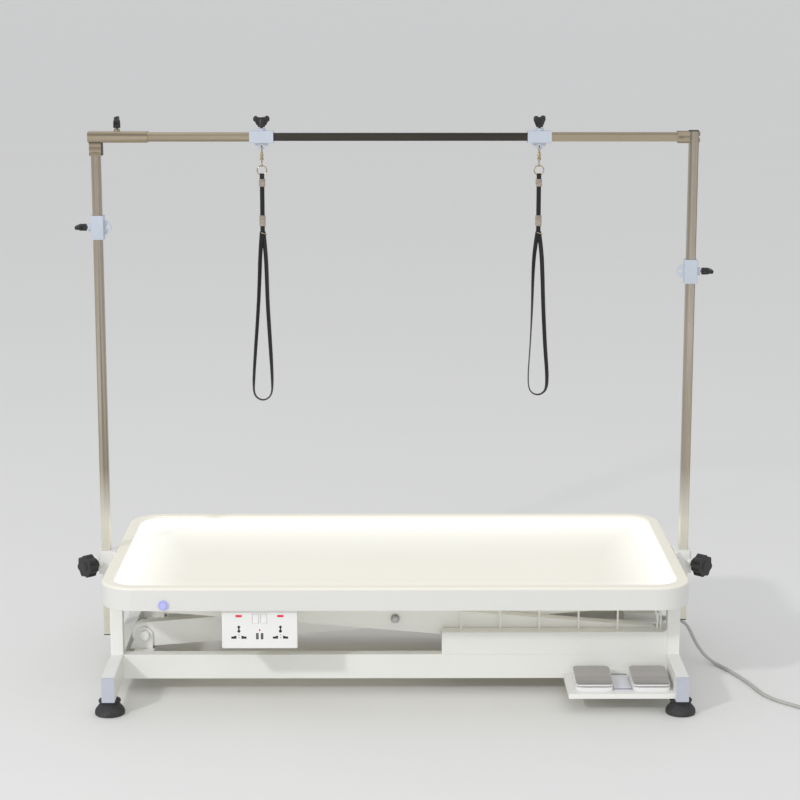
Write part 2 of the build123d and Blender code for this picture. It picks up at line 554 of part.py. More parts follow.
def socket_faceplate():
    x0, x1 = PLATE_X - PLATE_LONG / 2, PLATE_X + PLATE_LONG / 2
    back = PLATE_FACE_Y + PLATE_THICK
    plate = soft_block(span(x0, x1, PLATE_FACE_Y, back, *PLATE_Z), 3, Axis.Y)
    plate = fillet(plate.edges().group_by(Axis.Y)[0], 1.2)
    depth = 6.0
    def slot(x, z, wide, high, deep=depth):
        return span(x - wide / 2, x + wide / 2, PLATE_FACE_Y - 1, PLATE_FACE_Y + deep, z - high / 2, z + high / 2)
    def hole(x, z, radius):
        return rod((x, PLATE_FACE_Y - 1, z), (x, PLATE_FACE_Y + depth, z), radius)
    for side in (-1, 1):
        x = PLATE_X + side * SOCKET_DX
        plate -= Pos(x, 0, 170.0) * Rot(0, 45, 0) * Pos(-x, 0, -170.0) * slot(x, 170.0, 5, 5)
        plate -= hole(x, 161.5, 3.0) + slot(x, 166.0, 2.6, 6)
        for way in (-1, 1):
            wedge = [(x + way * (9.8 + dx), PIN_ROW_Z + dz) for dx, dz in PIN_SLOT]
            plate -= front_profile(wedge, PLATE_FACE_Y - 1, PLATE_FACE_Y + depth)
        for z in (149.0, 154.0):
            plate -= hole(x, z, 0.9)
        plate -= slot(x, 192.0, 12.6, 4.6, 2.0)
        plate -= slot(PLATE_X + side * 4.6, 151.5, 4.8, 12.6)
        plate -= slot(PLATE_X + side * ROCKER_DX, ROCKER_Z, 2 * ROCKER_HALF[0] + 0.8, 2 * ROCKER_HALF[1] + 0.9, 10)
    plate -= hole(PLATE_X, 163.6, 1.8)
    write("socket_faceplate", plate)
    box = soft_block(span(x0 + 4, x1 - 4, back, back + 38, PLATE_Z[0] + 4, BEAM_Z[1]), 3, Axis.Z)
    box -= span(x0 + 6, x1 - 6, back - 1, back + 36, PLATE_Z[0] + 6, BEAM_Z[1] - 2)
    write("power_box", box)


def rockers():
    """Two-position rockers, each a shallow V that stands proud at one end."""
    wide, high = ROCKER_HALF
    outline = [(-1.0, -high), (0.6, 0), (-1.0, high), (4.5, high - 2), (4.5, -high + 2)]
    for name, side in (("rocker_left", -1), ("rocker_right", 1)):
        x = PLATE_X + side * ROCKER_DX
        block = side_profile(outline, -wide, wide)
        write(name, Pos(x, PLATE_FACE_Y, ROCKER_Z) * Rot(-5, 0, 0) * block)


def light_button():
    face = -TOP_DEPTH / 2
    bezel = rod((BUTTON_X, face - 3, BUTTON_Z), (BUTTON_X, face, BUTTON_Z), 9.75)
    bezel += rod((BUTTON_X, face, BUTTON_Z), (BUTTON_X, face + 16, BUTTON_Z), 8.0)
    bezel -= rod((BUTTON_X, face - 4, BUTTON_Z), (BUTTON_X, face + 8, BUTTON_Z), 7.3)
    write("light_button_bezel", bezel)
    cap = rod((BUTTON_X, face - 4, BUTTON_Z), (BUTTON_X, face + 4, BUTTON_Z), 7.2)
    cap = fillet(cap.edges().group_by(Axis.Y)[0], 0.8)
    write("light_button_cap", cap)


# ---- arm frame ----------------------------------------------------------------------------
BAR_HALF = TUBE / 2
BAR_ENDS = (-POST_X - 5, POST_X - BAR_HALF - 8)
SLEEVE_X = (-610.0, -491.0)
SLEEVE_BEVEL = 3.5
RIVET_R = 2.5
RIVET_HOLE_R = 2.55
SLEEVE_HALF = 11.0


def arm_frame():
    def post(x, low, high):
        return square_tube(x - BAR_HALF, x + BAR_HALF, -BAR_HALF, BAR_HALF, low, high, "Z", TUBE_WALL, 1.5)
    left, right = post(-POST_X, *LEFT_POST_Z), post(POST_X, *RIGHT_POST_Z)
    left -= rod((-POST_X, -20, 1064), (-POST_X, 20, 1064), RIVET_HOLE_R)
    for z in BOLT_Z:
        right -= rod((POST_X - 20, 0, z), (POST_X + 20, 0, z), RIVET_HOLE_R)
    write("posts", left, right)
    caps = []
    for x, z, way, deep in ((-POST_X, LEFT_POST_Z[0], -1, 10), (POST_X, RIGHT_POST_Z[0], -1, 10),
                            (POST_X, RIGHT_POST_Z[1], 1, 2)):
        cap = span(x - BAR_HALF, x + BAR_HALF, -BAR_HALF, BAR_HALF, min(z, z + 2 * way), max(z, z + 2 * way))
        inside = BAR_HALF - TUBE_WALL - 0.1
        plug = span(x - inside, x + inside, -inside, inside, min(z, z - deep * way), max(z, z - deep * way))
        caps.append(soft_block(cap, 1.5) + plug)
    write("post_end_caps", caps)
    def bar(x0, x1):
        return square_tube(x0, x1, -BAR_HALF, BAR_HALF, BAR_Z - BAR_HALF, BAR_Z + BAR_HALF, "X", TUBE_WALL, 1.5)
    write("crossbar_tubes", bar(BAR_ENDS[0], CLAMP_X[0]), bar(CLAMP_X[1], BAR_ENDS[1]))
    half = JOINER / 2
    joiner = square_tube(CLAMP_X[0] - 70, CLAMP_X[1] + 70, -half, half, BAR_Z - half, BAR_Z + half, "X", 1.5, 1.0)
    write("crossbar_joiner", joiner)


BOLT_Z = (1087.0, 1100.0)
WING_X = -552.0


def corner_pieces():
    """The sleeve and U bracket at the left corner, and the bolted U bracket at the right."""
    half, bore = SLEEVE_HALF, BAR_HALF + 0.2
    sleeve = soft_block(span(*SLEEVE_X, -half, half, BAR_Z - half, BAR_Z + half), 1.5, Axis.X)
    sleeve -= span(BAR_ENDS[0] - 1, SLEEVE_X[1] + 1, -bore, bore, BAR_Z - bore, BAR_Z + bore)
    end = [(SLEEVE_X[0] - 1, BAR_Z - half - 1), (SLEEVE_X[0] + SLEEVE_BEVEL, BAR_Z - half - 1),
           (SLEEVE_X[0] - 1, BAR_Z - half + SLEEVE_BEVEL)]
    bevel = front_profile(end, -20, 20) + front_profile([(x, 2 * BAR_Z - z) for x, z in end], -20, 20)
    nut = rod((WING_X, 0, BAR_Z + half), (WING_X, 0, BAR_Z + half + 5), 6)
    sleeve = sleeve - bevel + nut - rod((WING_X, 0, BAR_Z + 5), (WING_X, 0, BAR_Z + 30), 3.05)
    write("corner_sleeve", sleeve)
    low = BAR_Z - half
    left = span(-POST_X - 12, -POST_X + 12, -11.2, 11.2, 1057, low)
    left -= span(-POST_X - 20, -POST_X + 20, -9.2, 9.2, 1050, low - 2)
    left -= rod((-POST_X, -20, 1064), (-POST_X, 20, 1064), RIVET_HOLE_R)
    rivet = rod((-POST_X, -12.7, 1064), (-POST_X, 12.7, 1064), RIVET_R)
    for s in (-1, 1):
        rivet += rod((-POST_X, s * 11.2, 1064), (-POST_X, s * 13.0, 1064), 4.5)
    inner = POST_X - BAR_HALF
    right = span(inner - 24, inner, -11.2, 11.2, BAR_Z - 12, BAR_Z + 11)
    right -= span(inner - 30, inner - 2, -9.2, 9.2, BAR_Z - 20, BAR_Z + 20)
    fixings = []
    for z in BOLT_Z:
        right -= rod((inner - 5, 0, z), (inner + 1, 0, z), RIVET_HOLE_R)
        bolt = rod((inner - 4, 0, z), (POST_X + BAR_HALF + 1, 0, z), RIVET_R)
        bolt += rod((POST_X + BAR_HALF, 0, z), (POST_X + BAR_HALF + 3, 0, z), 4.5)
        fixings.append(bolt)
    right -= rod((inner - 17, -20, BAR_Z - 2), (inner - 17, -9, BAR_Z - 2), 2.0)
    screw = rod((inner - 17, -13, BAR_Z - 2), (inner - 17, -9.2, BAR_Z - 2), 2.0)
    screw += rod((inner - 17, -13, BAR_Z - 2), (inner - 17, -11.2, BAR_Z - 2), 3.8)
    write("frame_brackets", left, rivet, right, fixings, screw)
    write("corner_wing_screw", wing_screw((WING_X, 0, BAR_Z + BAR_HALF + 0.2), (0, 0, 1), 8.5, 90))


def wing_screw(tip, outward, stem, turn):
    """A wing knob on a screw: the tip bears on the tube and the wings start a stem's length out."""
    across = (1, 0, 0) if outward[2] else (0, 0, 1)
    place = Plane(origin=tip, x_dir=across, z_dir=outward) * Rot(0, 0, turn)
    outline = make_face(Polyline((-6, 0), (6, 0), (7.5, 8), (16.5, 12), (16.5, 20), (11, 23), (4, 17),
                                 (-4, 17), (-11, 23), (-16.5, 20), (-16.5, 12), (-7.5, 8), close=True))
    wings = extrude(Plane.XZ * outline, 4, both=True)
    wings += Pos(0, 0, 8) * Cylinder(7, 16)
    wings = Pos(0, 0, stem) * wings - Pos(0, 0, stem) * Cylinder(3, 16)
    screw = Pos(0, 0, (stem + 8) / 2 + 0.15) * Cylinder(3, stem + 8 - 0.3)
    return [place * (wings - screw), place * screw]


CLAMP_LONG = 47.7
CLAMP_HALF = 12.0
TAB_HALF = 2.0
TAB_HOLE_Z = 1076.0
TAB_HOLE_R = 3.5


def loop_clamps():
    """Saddle clamps that slide on the crossbar, with a half-round eye tab below."""
    bore = BAR_HALF + SLIDING
    for name, x, turn in zip(("left", "right"), CLAMP_X, (20, 50)):
        block = span(x - CLAMP_LONG / 2, x + CLAMP_LONG / 2, -CLAMP_HALF, CLAMP_HALF,
                     BAR_Z - CLAMP_HALF, BAR_Z + CLAMP_HALF)
        block = fillet(block.edges().filter_by(Axis.X), 2)
        block += rod((x, 0, BAR_Z + CLAMP_HALF - 1), (x, 0, BAR_Z + CLAMP_HALF + 5), 8)
        disc = rod((x, -TAB_HALF, 1083), (x, TAB_HALF, 1083), 14)
        block += disc & span(x - 20, x + 20, -5, 5, 1060, BAR_Z - CLAMP_HALF + 1)
        block -= span(x - 40, x + 40, -bore, bore, BAR_Z - bore, BAR_Z + bore)
        block -= rod((x, -5, TAB_HOLE_Z), (x, 5, TAB_HOLE_Z), TAB_HOLE_R)
        block -= rod((x, 0, BAR_Z + 5), (x, 0, BAR_Z + 30), 3.05)
        write("loop_clamp_" + name, block)
        tip = (x, 0, BAR_Z + BAR_HALF + 0.2)
        write("loop_wing_screw_" + name, wing_screw(tip, (0, 0, 1), 10.0, turn))


EYE_LONG = 48.0
EYE_HALF = 13.0
EYE_HOLE_R = 4.5
EYE_HOLE_OUT = 20.5


def eye_clamps():
    """Clamps that slide on the posts, with an eye tab on the inside and a wing screw outside."""
    bore = BAR_HALF + SLIDING
    for name, side, z in zip(("left", "right"), (-1, 1), EYE_CLAMP_Z):
        x = side * POST_X
        block = span(x - EYE_HALF, x + EYE_HALF, -EYE_HALF, EYE_HALF, z - EYE_LONG / 2, z + EYE_LONG / 2)
        block = fillet(block.edges().filter_by(Axis.Z), 2)
        face = x + side * EYE_HALF
        block += rod((face - side, 0, z), (face + side * 6, 0, z), 8)
        inner = x - side * EYE_HALF
        disc = rod((inner, -TAB_HALF, z), (inner, TAB_HALF, z), 14)
        hole_x = x - side * EYE_HOLE_OUT
        block += disc & span(min(inner - side * 20, inner + side), max(inner - side * 20, inner + side),
                             -5, 5, z - 20, z + 20)
        block -= span(x - bore, x + bore, -bore, bore, z - 40, z + 40)
        block -= rod((hole_x, -5, z), (hole_x, 5, z), EYE_HOLE_R)
        block -= rod((x, 0, z), (x + side * 30, 0, z), 3.05)
        write("eye_clamp_" + name, block)
        tip = (x + side * (BAR_HALF + 0.2), 0, z)
        write("eye_wing_screw_" + name, wing_screw(tip, (side, 0, 0), 13.0, 90))


# ---- nooses -------------------------------------------------------------------------------
STRAP_WIDE = 9.0
STRAP_THICK = 2.5
RING_Z = 1027.6
RING_R = 9.5
STRAP_TOP = 1013.0
LOOP_TOP = 905.0
FERRULES_Z = ((1011.0, 995.0), (938.0, 916.0))
LOOPS = {
    "left": [(-1.4, 904.9), (-5.4, 862), (-7.2, 815), (-10, 762), (-14, 707), (-18.2, 655), (-21.8, 604),
             (-22, 573.7), (-10.5, 562), (3.7, 562), (15.2, 573.7), (16, 604), (13.8, 655), (11, 707),
             (8.2, 762), (7.2, 815), (5.6, 862), (1.4, 904.9)],
    "right": [(-1.4, 904.9), (-7.2, 868), (-9.6, 820), (-10.2, 768), (-11.8, 712), (-14.2, 660), (-17, 618),
              (-16.2, 584.2), (-4.8, 572.4), (9.6, 572.4), (21, 584), (21.6, 615), (17.6, 660), (14.2, 712),
              (11.4, 768), (9.6, 820), (7, 868), (1.4, 904.9)],
}


def noose(name, x):
    """A snap hook through the clamp's tab, then a swivel eye, ring, ferrules and a strap with its loop."""
    bow = torus_at((x, 0, TAB_HOLE_Z - 6), (1, 0, 0), 6, 1.5)
    barrel = rod((x, 0, 1063.6), (x, 0, 1048), 4) - rod((x, 0, 1047), (x, 0, 1056), 1.6)
    write("noose_hook_" + name, bow + barrel)
    stem = rod((x, 0, 1055), (x, 0, 1044.0), 1.55)
    eye = torus_at((x, 0, 1039.4), (1, 0, 0), 4.5, 1.2) + stem
    ring = torus_at((x, 0, RING_Z), (0, 1, 0), RING_R, 1.3)
    ferrules = []
    for top, bottom in FERRULES_Z:
        case = soft_block(span(x - 6.5, x + 6.5, -4.3, 4.3, bottom, top), 1.5)
        ferrules.append(case - span(x - 4.6, x + 4.6, -2.6, 2.6, bottom - 1, top + 1))
    write("noose_fittings_" + name, eye, ring, ferrules)
    fold_z = RING_Z - RING_R + 0.6
    half = STRAP_WIDE / 2
    doubled = rod((x - half, 0, fold_z), (x + half, 0, fold_z), 5.4)
    doubled += span(x - half, x + half, -STRAP_THICK, STRAP_THICK, LOOP_TOP, fold_z)
    doubled -= rod((x - STRAP_WIDE, 0, fold_z), (x + STRAP_WIDE, 0, fold_z), 3.5)
    write("noose_strap_" + name, doubled, strap_loop([(x + dx, 0, z) for dx, z in LOOPS[name]]))


def strap_loop(points):
    """A flat strap bent edgewise to the front along straight runs and arcs."""
    path = FilletPolyline(*points, radius=arc_radii(points))
    section = Plane(origin=path @ 0, x_dir=(0, 1, 0), z_dir=path % 0) * Rectangle(STRAP_WIDE, STRAP_THICK)
    band = sweep(section, path=path)
    print("loop length", round(path.length), "volume ratio",
          round(band.volume / (STRAP_WIDE * STRAP_THICK * path.length), 4))
    return band


def main():
    os.makedirs("parts", exist_ok=True)
    base_frame()
    corner_columns()
    rail_end_caps()
    for side, x in (("left", -SIDE_RAIL_X), ("right", SIDE_RAIL_X)):
        foot("foot_front_" + side, x, -FOOT_Y)
        foot("foot_rear_" + side, x, FOOT_Y)
    tray_rail()
    tool_rack()
    control_box()
    cable_gland()
    mains_lead()
    pedal_tray()
    pedal_housings()
    pedals()
    arm_a()
    arm_b()
    actuator()
    tabletop()
    underframe()
    post_sockets()
    star_knobs()
    socket_faceplate()
    rockers()
    light_button()
    arm_frame()
    corner_pieces()
    loop_clamps()
    eye_clamps()
    for name, x in zip(("left", "right"), CLAMP_X):
        noose(name, x)


main()
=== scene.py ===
"""Looks for the electric pet grooming table: camera, lights, finishes and the finely shaped pieces.

Lengths in this file are millimetres in the object's own frame until a piece is made, when they become metres.
"""
import math

import bmesh
import bpy
from mathutils import Matrix, Vector


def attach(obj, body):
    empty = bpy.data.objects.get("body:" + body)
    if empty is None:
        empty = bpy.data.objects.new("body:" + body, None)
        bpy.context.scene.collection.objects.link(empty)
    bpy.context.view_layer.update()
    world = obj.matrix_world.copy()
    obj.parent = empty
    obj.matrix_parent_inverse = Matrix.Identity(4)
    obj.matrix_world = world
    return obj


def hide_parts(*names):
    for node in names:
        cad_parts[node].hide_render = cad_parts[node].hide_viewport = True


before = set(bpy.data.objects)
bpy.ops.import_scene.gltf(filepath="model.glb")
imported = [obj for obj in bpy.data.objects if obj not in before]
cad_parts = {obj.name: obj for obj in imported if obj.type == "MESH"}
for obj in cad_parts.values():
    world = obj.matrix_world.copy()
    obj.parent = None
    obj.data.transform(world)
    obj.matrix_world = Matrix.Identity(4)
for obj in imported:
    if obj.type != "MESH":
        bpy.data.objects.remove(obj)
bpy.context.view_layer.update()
MM = 0.001

# ---- camera -------------------------------------------------------------------------------
LENS = 94.1
camera_data = bpy.data.cameras.new("camera")
camera_data.lens = LENS
camera_data.sensor_width = 36.0
camera_data.clip_start, camera_data.clip_end = 0.05, 6000.0
camera = bpy.data.objects.new("camera", camera_data)
camera.location = (-0.008, -4.182, 1.359)
camera.rotation_euler = (math.radians(79.2), 0.0, math.radians(-0.25))
bpy.context.collection.objects.link(camera)
bpy.context.scene.camera = camera
bpy.context.scene.view_settings.view_transform = "Standard"
bpy.context.scene.view_settings.look = "None"


# ---- finishes -----------------------------------------------------------------------------
def linear(r, g, b):
    """Scene colour of a screen colour given from 0 to 255."""
    def one(v):
        v /= 255.0
        return v / 12.92 if v <= 0.04045 else ((v + 0.055) / 1.055) ** 2.4
    return (one(r), one(g), one(b), 1.0)


class Finish:
    """A node material with helpers for patterns that are fixed to the object."""

    def __init__(self, name, rough=0.5, metal=0.0, coat=0.0, specular=0.5, sheen=0.0):
        self.material = bpy.data.materials.new(name)
        self.material.use_nodes = True
        self.tree = self.material.node_tree
        self.shader = self.tree.nodes["Principled BSDF"]
        self.shader.inputs["Roughness"].default_value = rough
        self.shader.inputs["Metallic"].default_value = metal
        self.shader.inputs["Coat Weight"].default_value = coat
        self.shader.inputs["Coat Roughness"].default_value = 0.15
        self.shader.inputs["Specular IOR Level"].default_value = specular
        self.shader.inputs["Sheen Weight"].default_value = sheen
        self.coords = self.tree.nodes.new("ShaderNodeTexCoord")
        self.height = None

    def node(self, kind, **values):
        made = self.tree.nodes.new(kind)
        for key, value in values.items():
            if key in made.inputs:
                made.inputs[key].default_value = value
            else:
                setattr(made, key, value)
        return made

    def link(self, start, end):
        self.tree.links.new(start, end)

    def stretched(self, scale):
        mapping = self.node("ShaderNodeMapping")
        mapping.inputs["Scale"].default_value = scale
        self.link(self.coords.outputs["Object"], mapping.inputs["Vector"])
        return mapping.outputs["Vector"]

    def noise(self, scale, detail=3.0, rough=0.55, stretch=(1, 1, 1)):
        made = self.node("ShaderNodeTexNoise", Scale=scale, Detail=detail, Roughness=rough)
        self.link(self.stretched(stretch), made.inputs["Vector"])
        return made.outputs["Fac"]

    def spread(self, value, low, high, from_low=0.3, from_high=0.7):
        made = self.node("ShaderNodeMapRange")
        for key, number in (("From Min", from_low), ("From Max", from_high), ("To Min", low), ("To Max", high)):
            made.inputs[key].default_value = number
        self.link(value, made.inputs["Value"])
        return made.outputs["Result"]

    def mixed(self, factor, first, second):
        made = self.tree.nodes.new("ShaderNodeMix")
        made.data_type = "RGBA"
        self.link(factor, made.inputs["Factor"])
        for socket, colour in ((made.inputs[6], first), (made.inputs[7], second)):
            if isinstance(colour, bpy.types.NodeSocket):
                self.link(colour, socket)
            else:
                socket.default_value = colour
        return made.outputs[2]

    def combine(self, operation, first, second):
        made = self.node("ShaderNodeMath", operation=operation)
        for socket, value in ((made.inputs[0], first), (made.inputs[1], second)):
            if isinstance(value, bpy.types.NodeSocket):
                self.link(value, socket)
            else:
                socket.default_value = value
        return made.outputs[0]

    def axis(self, letter):
        made = self.node("ShaderNodeSeparateXYZ")
        self.link(self.coords.outputs["Object"], made.inputs[0])
        return made.outputs[letter]

    def colour(self, value):
        if isinstance(value, bpy.types.NodeSocket):
            self.link(value, self.shader.inputs["Base Color"])
        else:
            self.shader.inputs["Base Color"].default_value = value

    def roughness(self, value):
        self.link(value, self.shader.inputs["Roughness"])

    def bump(self, value, depth_mm, strength=1.0):
        """Adds relief of a real depth; calls stack."""
        made = self.node("ShaderNodeBump", Strength=strength, Distance=depth_mm * MM)
        self.link(value, made.inputs["Height"])
        if self.height:
            self.link(self.height, made.inputs["Normal"])
        self.height = made.outputs["Normal"]
        self.link(self.height, self.shader.inputs["Normal"])

    def glow(self, colour, strength):
        for key, value in (("Emission Color", colour), ("Emission Strength", strength)):
            if isinstance(value, bpy.types.NodeSocket):
                self.link(value, self.shader.inputs[key])
            else:
                self.shader.inputs[key].default_value = value


# painted glow: warm emission on the tabletop rim's top edge, standing in for light from the lit panel
PAINTED_RIM_GLOW = (0.17, 0.145, 0.06, 1.0)
PAINTED_GLOW_BAND_Z = (0.2445, 0.2488)
# painted reflection: the posts turn paler towards their lower ends, standing in for the lit panel reflected in them
PANEL_REFLECTION_Z = (0.31, 0.42)


def powder_coat(name, colour, shade, rough=0.42, painted_rim_glow=False):
    """Baked powder paint: orange peel, faint clouding, grime that gathers near the floor, and, where asked, a painted
    warm glow along the rim's top edge standing in for the lit panel's light.
    """
    f = Finish(name, rough)
    cloud = f.spread(f.noise(5.0, 4.0), 0.0, 1.0)
    paint = f.mixed(cloud, linear(*colour), linear(*shade))
    low_down = f.spread(f.axis("Z"), 0.3, 0.0, 0.02, 0.09)
    speckle = f.spread(f.noise(160.0, 6.0, 0.7), 0.0, 1.0, 0.55, 0.85)
    f.colour(f.mixed(f.combine("MULTIPLY", low_down, speckle), paint, linear(214, 211, 200)))
    # painted glow on the rim's top edge, in place of the lit panel's light falling there
    if painted_rim_glow:
        rim_glow_mask = f.spread(f.axis("Z"), 0.0, 1.0, *PAINTED_GLOW_BAND_Z)
        f.glow(f.mixed(rim_glow_mask, (0.0, 0.0, 0.0, 1.0), PAINTED_RIM_GLOW), 1.0)
    f.roughness(f.spread(f.noise(90.0, 4.0), rough - 0.06, rough + 0.08))
    f.bump(f.noise(420.0, 2.0), 0.05)
    f.bump(f.noise(1900.0, 2.0), 0.012)
    return f.material


def moulded(name, colour, shade, rough=0.45, grain=1500.0, depth=0.03, coat=0.0):
    """Moulded plastic with a fine spark-eroded grain."""
    f = Finish(name, rough, coat=coat)
    f.colour(f.mixed(f.spread(f.noise(22.0, 4.0), 0.0, 1.0), linear(*colour), linear(*shade)))
    f.roughness(f.spread(f.noise(140.0, 3.0), rough - 0.05, rough + 0.07))
    f.bump(f.noise(grain, 3.0, 0.6), depth)
    f.bump(f.noise(45.0, 2.0), 0.03)
    return f.material


def brushed(name, colour, shade, along, rough=0.3, metal=1.0, streak=900.0, contrast=1.0, painted_panel_reflection=False):
    """Metal brushed along one axis, with slow tone changes down its length and fine hairlines across it; where asked,
    paler towards its lower end as a painted reflection of the lit panel.
    """
    f = Finish(name, rough, metal)
    fine = [1.0, 1.0, 1.0]
    fine["XYZ".index(along)] = 0.012
    slow = [0.25, 0.25, 0.25]
    slow["XYZ".index(along)] = 1.0
    tone = f.spread(f.noise(2.2, 2.0, 0.5, slow), 0.0, 1.0, 0.35, 0.65)
    hair = f.noise(streak, 3.0, 0.6, fine)
    wide = [150.0, 150.0, 150.0]
    wide["XYZ".index(along)] = 0.6
    band = f.spread(f.noise(1.0, 1.0, 0.5, wide), 0.0, 1.0, 0.42, 0.62)
    body = f.mixed(tone, linear(*colour), linear(*shade))
    body = f.mixed(band, body, linear(*((1.0 - 0.18 * contrast) * c for c in shade)))
    darker = tuple((1.0 - 0.2 * contrast) * c for c in linear(*shade)[:3]) + (1.0,)
    face = f.mixed(f.spread(hair, 0.0, 0.5, 0.45, 0.75), body, darker)
    # painted reflection of the lit panel: paler towards the lower end
    if painted_panel_reflection:
        face = f.mixed(f.spread(f.axis("Z"), 1.0, 0.0, *PANEL_REFLECTION_Z), face, linear(232, 228, 214))
    f.colour(face)
    f.roughness(f.spread(hair, rough - 0.07 * contrast, rough + 0.12 * contrast))
    f.bump(hair, 0.01)
    f.bump(f.noise(260.0, 4.0, 0.7), 0.004)
    return f.material


def plated(name, colour, shade, rough=0.25, scale=240.0):
    """Plated small parts with slight pitting and tarnish."""
    f = Finish(name, rough, 1.0)
    f.colour(f.mixed(f.spread(f.noise(scale, 4.0), 0.0, 1.0), linear(*colour), linear(*shade)))
    f.roughness(f.spread(f.noise(scale * 2, 4.0), rough - 0.06, rough + 0.15))
    f.bump(f.noise(scale * 6, 3.0), 0.012)
    return f.material


def rubbery(name, colour, dusty, rough=0.72):
    """Matt rubber that holds pale dust low down."""
    f = Finish(name, rough)
    near_floor = f.spread(f.axis("Z"), 0.5, 0.08, 0.0, 0.02)
    dust = f.combine("MULTIPLY", near_floor, f.spread(f.noise(110.0, 6.0, 0.7), 0, 1))
    f.colour(f.mixed(dust, linear(*colour), linear(*dusty)))
    f.roughness(f.spread(f.noise(300.0, 4.0), rough - 0.08, rough + 0.1))
    f.bump(f.noise(900.0, 4.0, 0.7), 0.05)
    return f.material


def light_panel_finish():
    """An opal sheet lit from its edges: brightest along the far side and the ends, creamy in the middle."""
    f = Finish("opal_lit", 0.32, specular=0.3)
    x_far = f.combine("ABSOLUTE", f.axis("X"), 0.0)
    end = f.combine("POWER", f.spread(x_far, 0.0, 1.0, 0.40, 0.55), 1.6)
    back = f.combine("POWER", f.spread(f.axis("Y"), 0.0, 1.0, -0.20, 0.25), 3.2)
    front = f.spread(f.axis("Y"), 0.18, 0.0, -0.276, -0.235)
    cloud = f.spread(f.noise(3.0, 2.0), -0.02, 0.02)
    level = f.combine("ADD", f.combine("ADD", f.combine("MAXIMUM", end, back), front), cloud)
    f.colour((0.42, 0.41, 0.37, 1.0))
    dim, bright = (0.445, 0.43, 0.36, 1.0), (0.78, 0.78, 0.73, 1.0)
    f.glow(f.mixed(f.spread(level, 0.0, 1.0, 0.0, 1.0), dim, bright), 1.0)
    f.roughness(f.spread(f.noise(500.0, 3.0), 0.26, 0.4))
    f.bump(f.noise(1300.0, 2.0), 0.01)
    return f.material


def glowing(name, colour, glow, strength, rough=0.2):
    f = Finish(name, rough, coat=0.4)
    f.colour(f.mixed(f.spread(f.noise(300.0, 3.0), 0.0, 1.0), linear(*colour),
                     tuple(0.85 * c for c in linear(*colour)[:3]) + (1.0,)))
    f.glow(linear(*glow), strength)
    f.bump(f.noise(1500.0, 2.0), 0.01)
    return f.material


def strap_finish():
    """Coated webbing: a fine weave that shows through, and paler rubbed edges."""
    f = Finish("strap_black", 0.5, specular=0.35, sheen=0.04)
    uv = f.node("ShaderNodeSeparateXYZ")
    f.link(f.coords.outputs["UV"], uv.inputs[0])
    def wave(length_mm, channel):
        turns = f.combine("MULTIPLY", channel, 2 * math.pi / (length_mm * MM))
        return f.combine("SINE", turns, 0.0)
    weave = f.combine("MULTIPLY", wave(1.6, uv.outputs["X"]), wave(1.3, uv.outputs["Y"]))
    side = f.combine("ABSOLUTE", uv.outputs["Y"], 0.0)
    edge = f.spread(side, 0.0, 1.0, 0.0034, 0.0044)
    worn = f.combine("MULTIPLY", edge, f.spread(f.noise(120.0, 5.0, 0.7), 0.0, 1.0))
    f.colour(f.mixed(worn, linear(27, 25, 24), linear(84, 80, 76)))
    f.roughness(f.spread(f.noise(420.0, 4.0), 0.4, 0.6))
    f.bump(weave, 0.05)
    stitch = f.combine("MULTIPLY", f.spread(side, 0.0, 1.0, 0.0027, 0.0030),
                       f.spread(side, 1.0, 0.0, 0.0033, 0.0036))
    f.bump(f.combine("MULTIPLY", stitch, f.spread(wave(3.2, uv.outputs["X"]), 0.0, 1.0, -0.2, 0.2)), 0.18)
    return f.material


WHITE = powder_coat("white_powder_coat", (237, 237, 232), (235, 235, 229))
SHELL = powder_coat("white_shell", (221, 220, 216), (219, 218, 213), 0.36, True)
STEEL_UP = brushed("stainless_upright", (200, 191, 177), (176, 165, 148), "Z", painted_panel_reflection=True)
STEEL_ALONG = brushed("stainless_bar", (194, 181, 158), (178, 164, 141), "X")
BLACK_BAR = brushed("black_bar", (66, 60, 52), (46, 42, 37), "X", 0.42, 0.35, 500.0)
BOLT = plated("bolt_zinc", (216, 216, 212), (176, 176, 174), 0.38)
ZINC = plated("zinc_plate", (172, 172, 170), (140, 140, 140), 0.32)
GOLD = plated("gilt_fitting", (204, 190, 160), (168, 150, 120), 0.22)
NICKEL = plated("ferrule_nickel", (196, 184, 172), (164, 152, 142), 0.26)
BLUE_GREY = moulded("blue_grey_plastic", (194, 200, 210), (184, 191, 203), 0.42)
CAP_GREY = moulded("end_cap_plastic", (187, 190, 200), (180, 184, 194), 0.46)
BLACK = moulded("black_plastic", (44, 42, 42), (34, 33, 34), 0.46, 1800.0, 0.05)
RUBBER = rubbery("foot_rubber", (43, 43, 45), (96, 94, 90))
PEDAL_WHITE = moulded("pedal_white", (236, 234, 232), (232, 230, 229), 0.24, 900.0, 0.01, 0.3)
PEDAL_TOP = brushed("pedal_cover", (190, 186, 184), (182, 178, 176), "X", 0.34, 0.5, 1100.0, contrast=0.3)
BRIDGE = moulded("pedal_bridge", (224, 224, 232), (216, 216, 226), 0.2, 900.0, 0.01, 0.4)
SOCKET = moulded("socket_white", (235, 234, 231), (233, 232, 229), 0.16, 900.0, 0.008, 0.3)
# near-black plastic set in the socket holes and the pedal bridge's slots: painted shade for their depth
SHADE_DARK = moulded("painted_gap_shade", (34, 32, 34), (24, 23, 25), 0.5, 900.0, 0.02)
CABLE = moulded("cable_grey", (186, 185, 180), (176, 175, 170), 0.5, 1400.0, 0.03)
MOTOR = powder_coat("actuator_grey", (92, 92, 95), (84, 84, 88), 0.4)
PALE = moulded("reflector_white", (240, 240, 236), (234, 233, 228), 0.5)
RED = glowing("neon_red", (205, 40, 62), (214, 40, 60), 0.35)
BUTTON = glowing("button_glow", (172, 176, 226), (92, 96, 150), 0.5)
LAVENDER = glowing("button_rim", (176, 180, 226), (80, 84, 130), 0.5)
MARK = glowing("button_mark", (214, 216, 238), (120, 124, 160), 0.6)
STRAP = strap_finish()
PANEL = light_panel_finish()


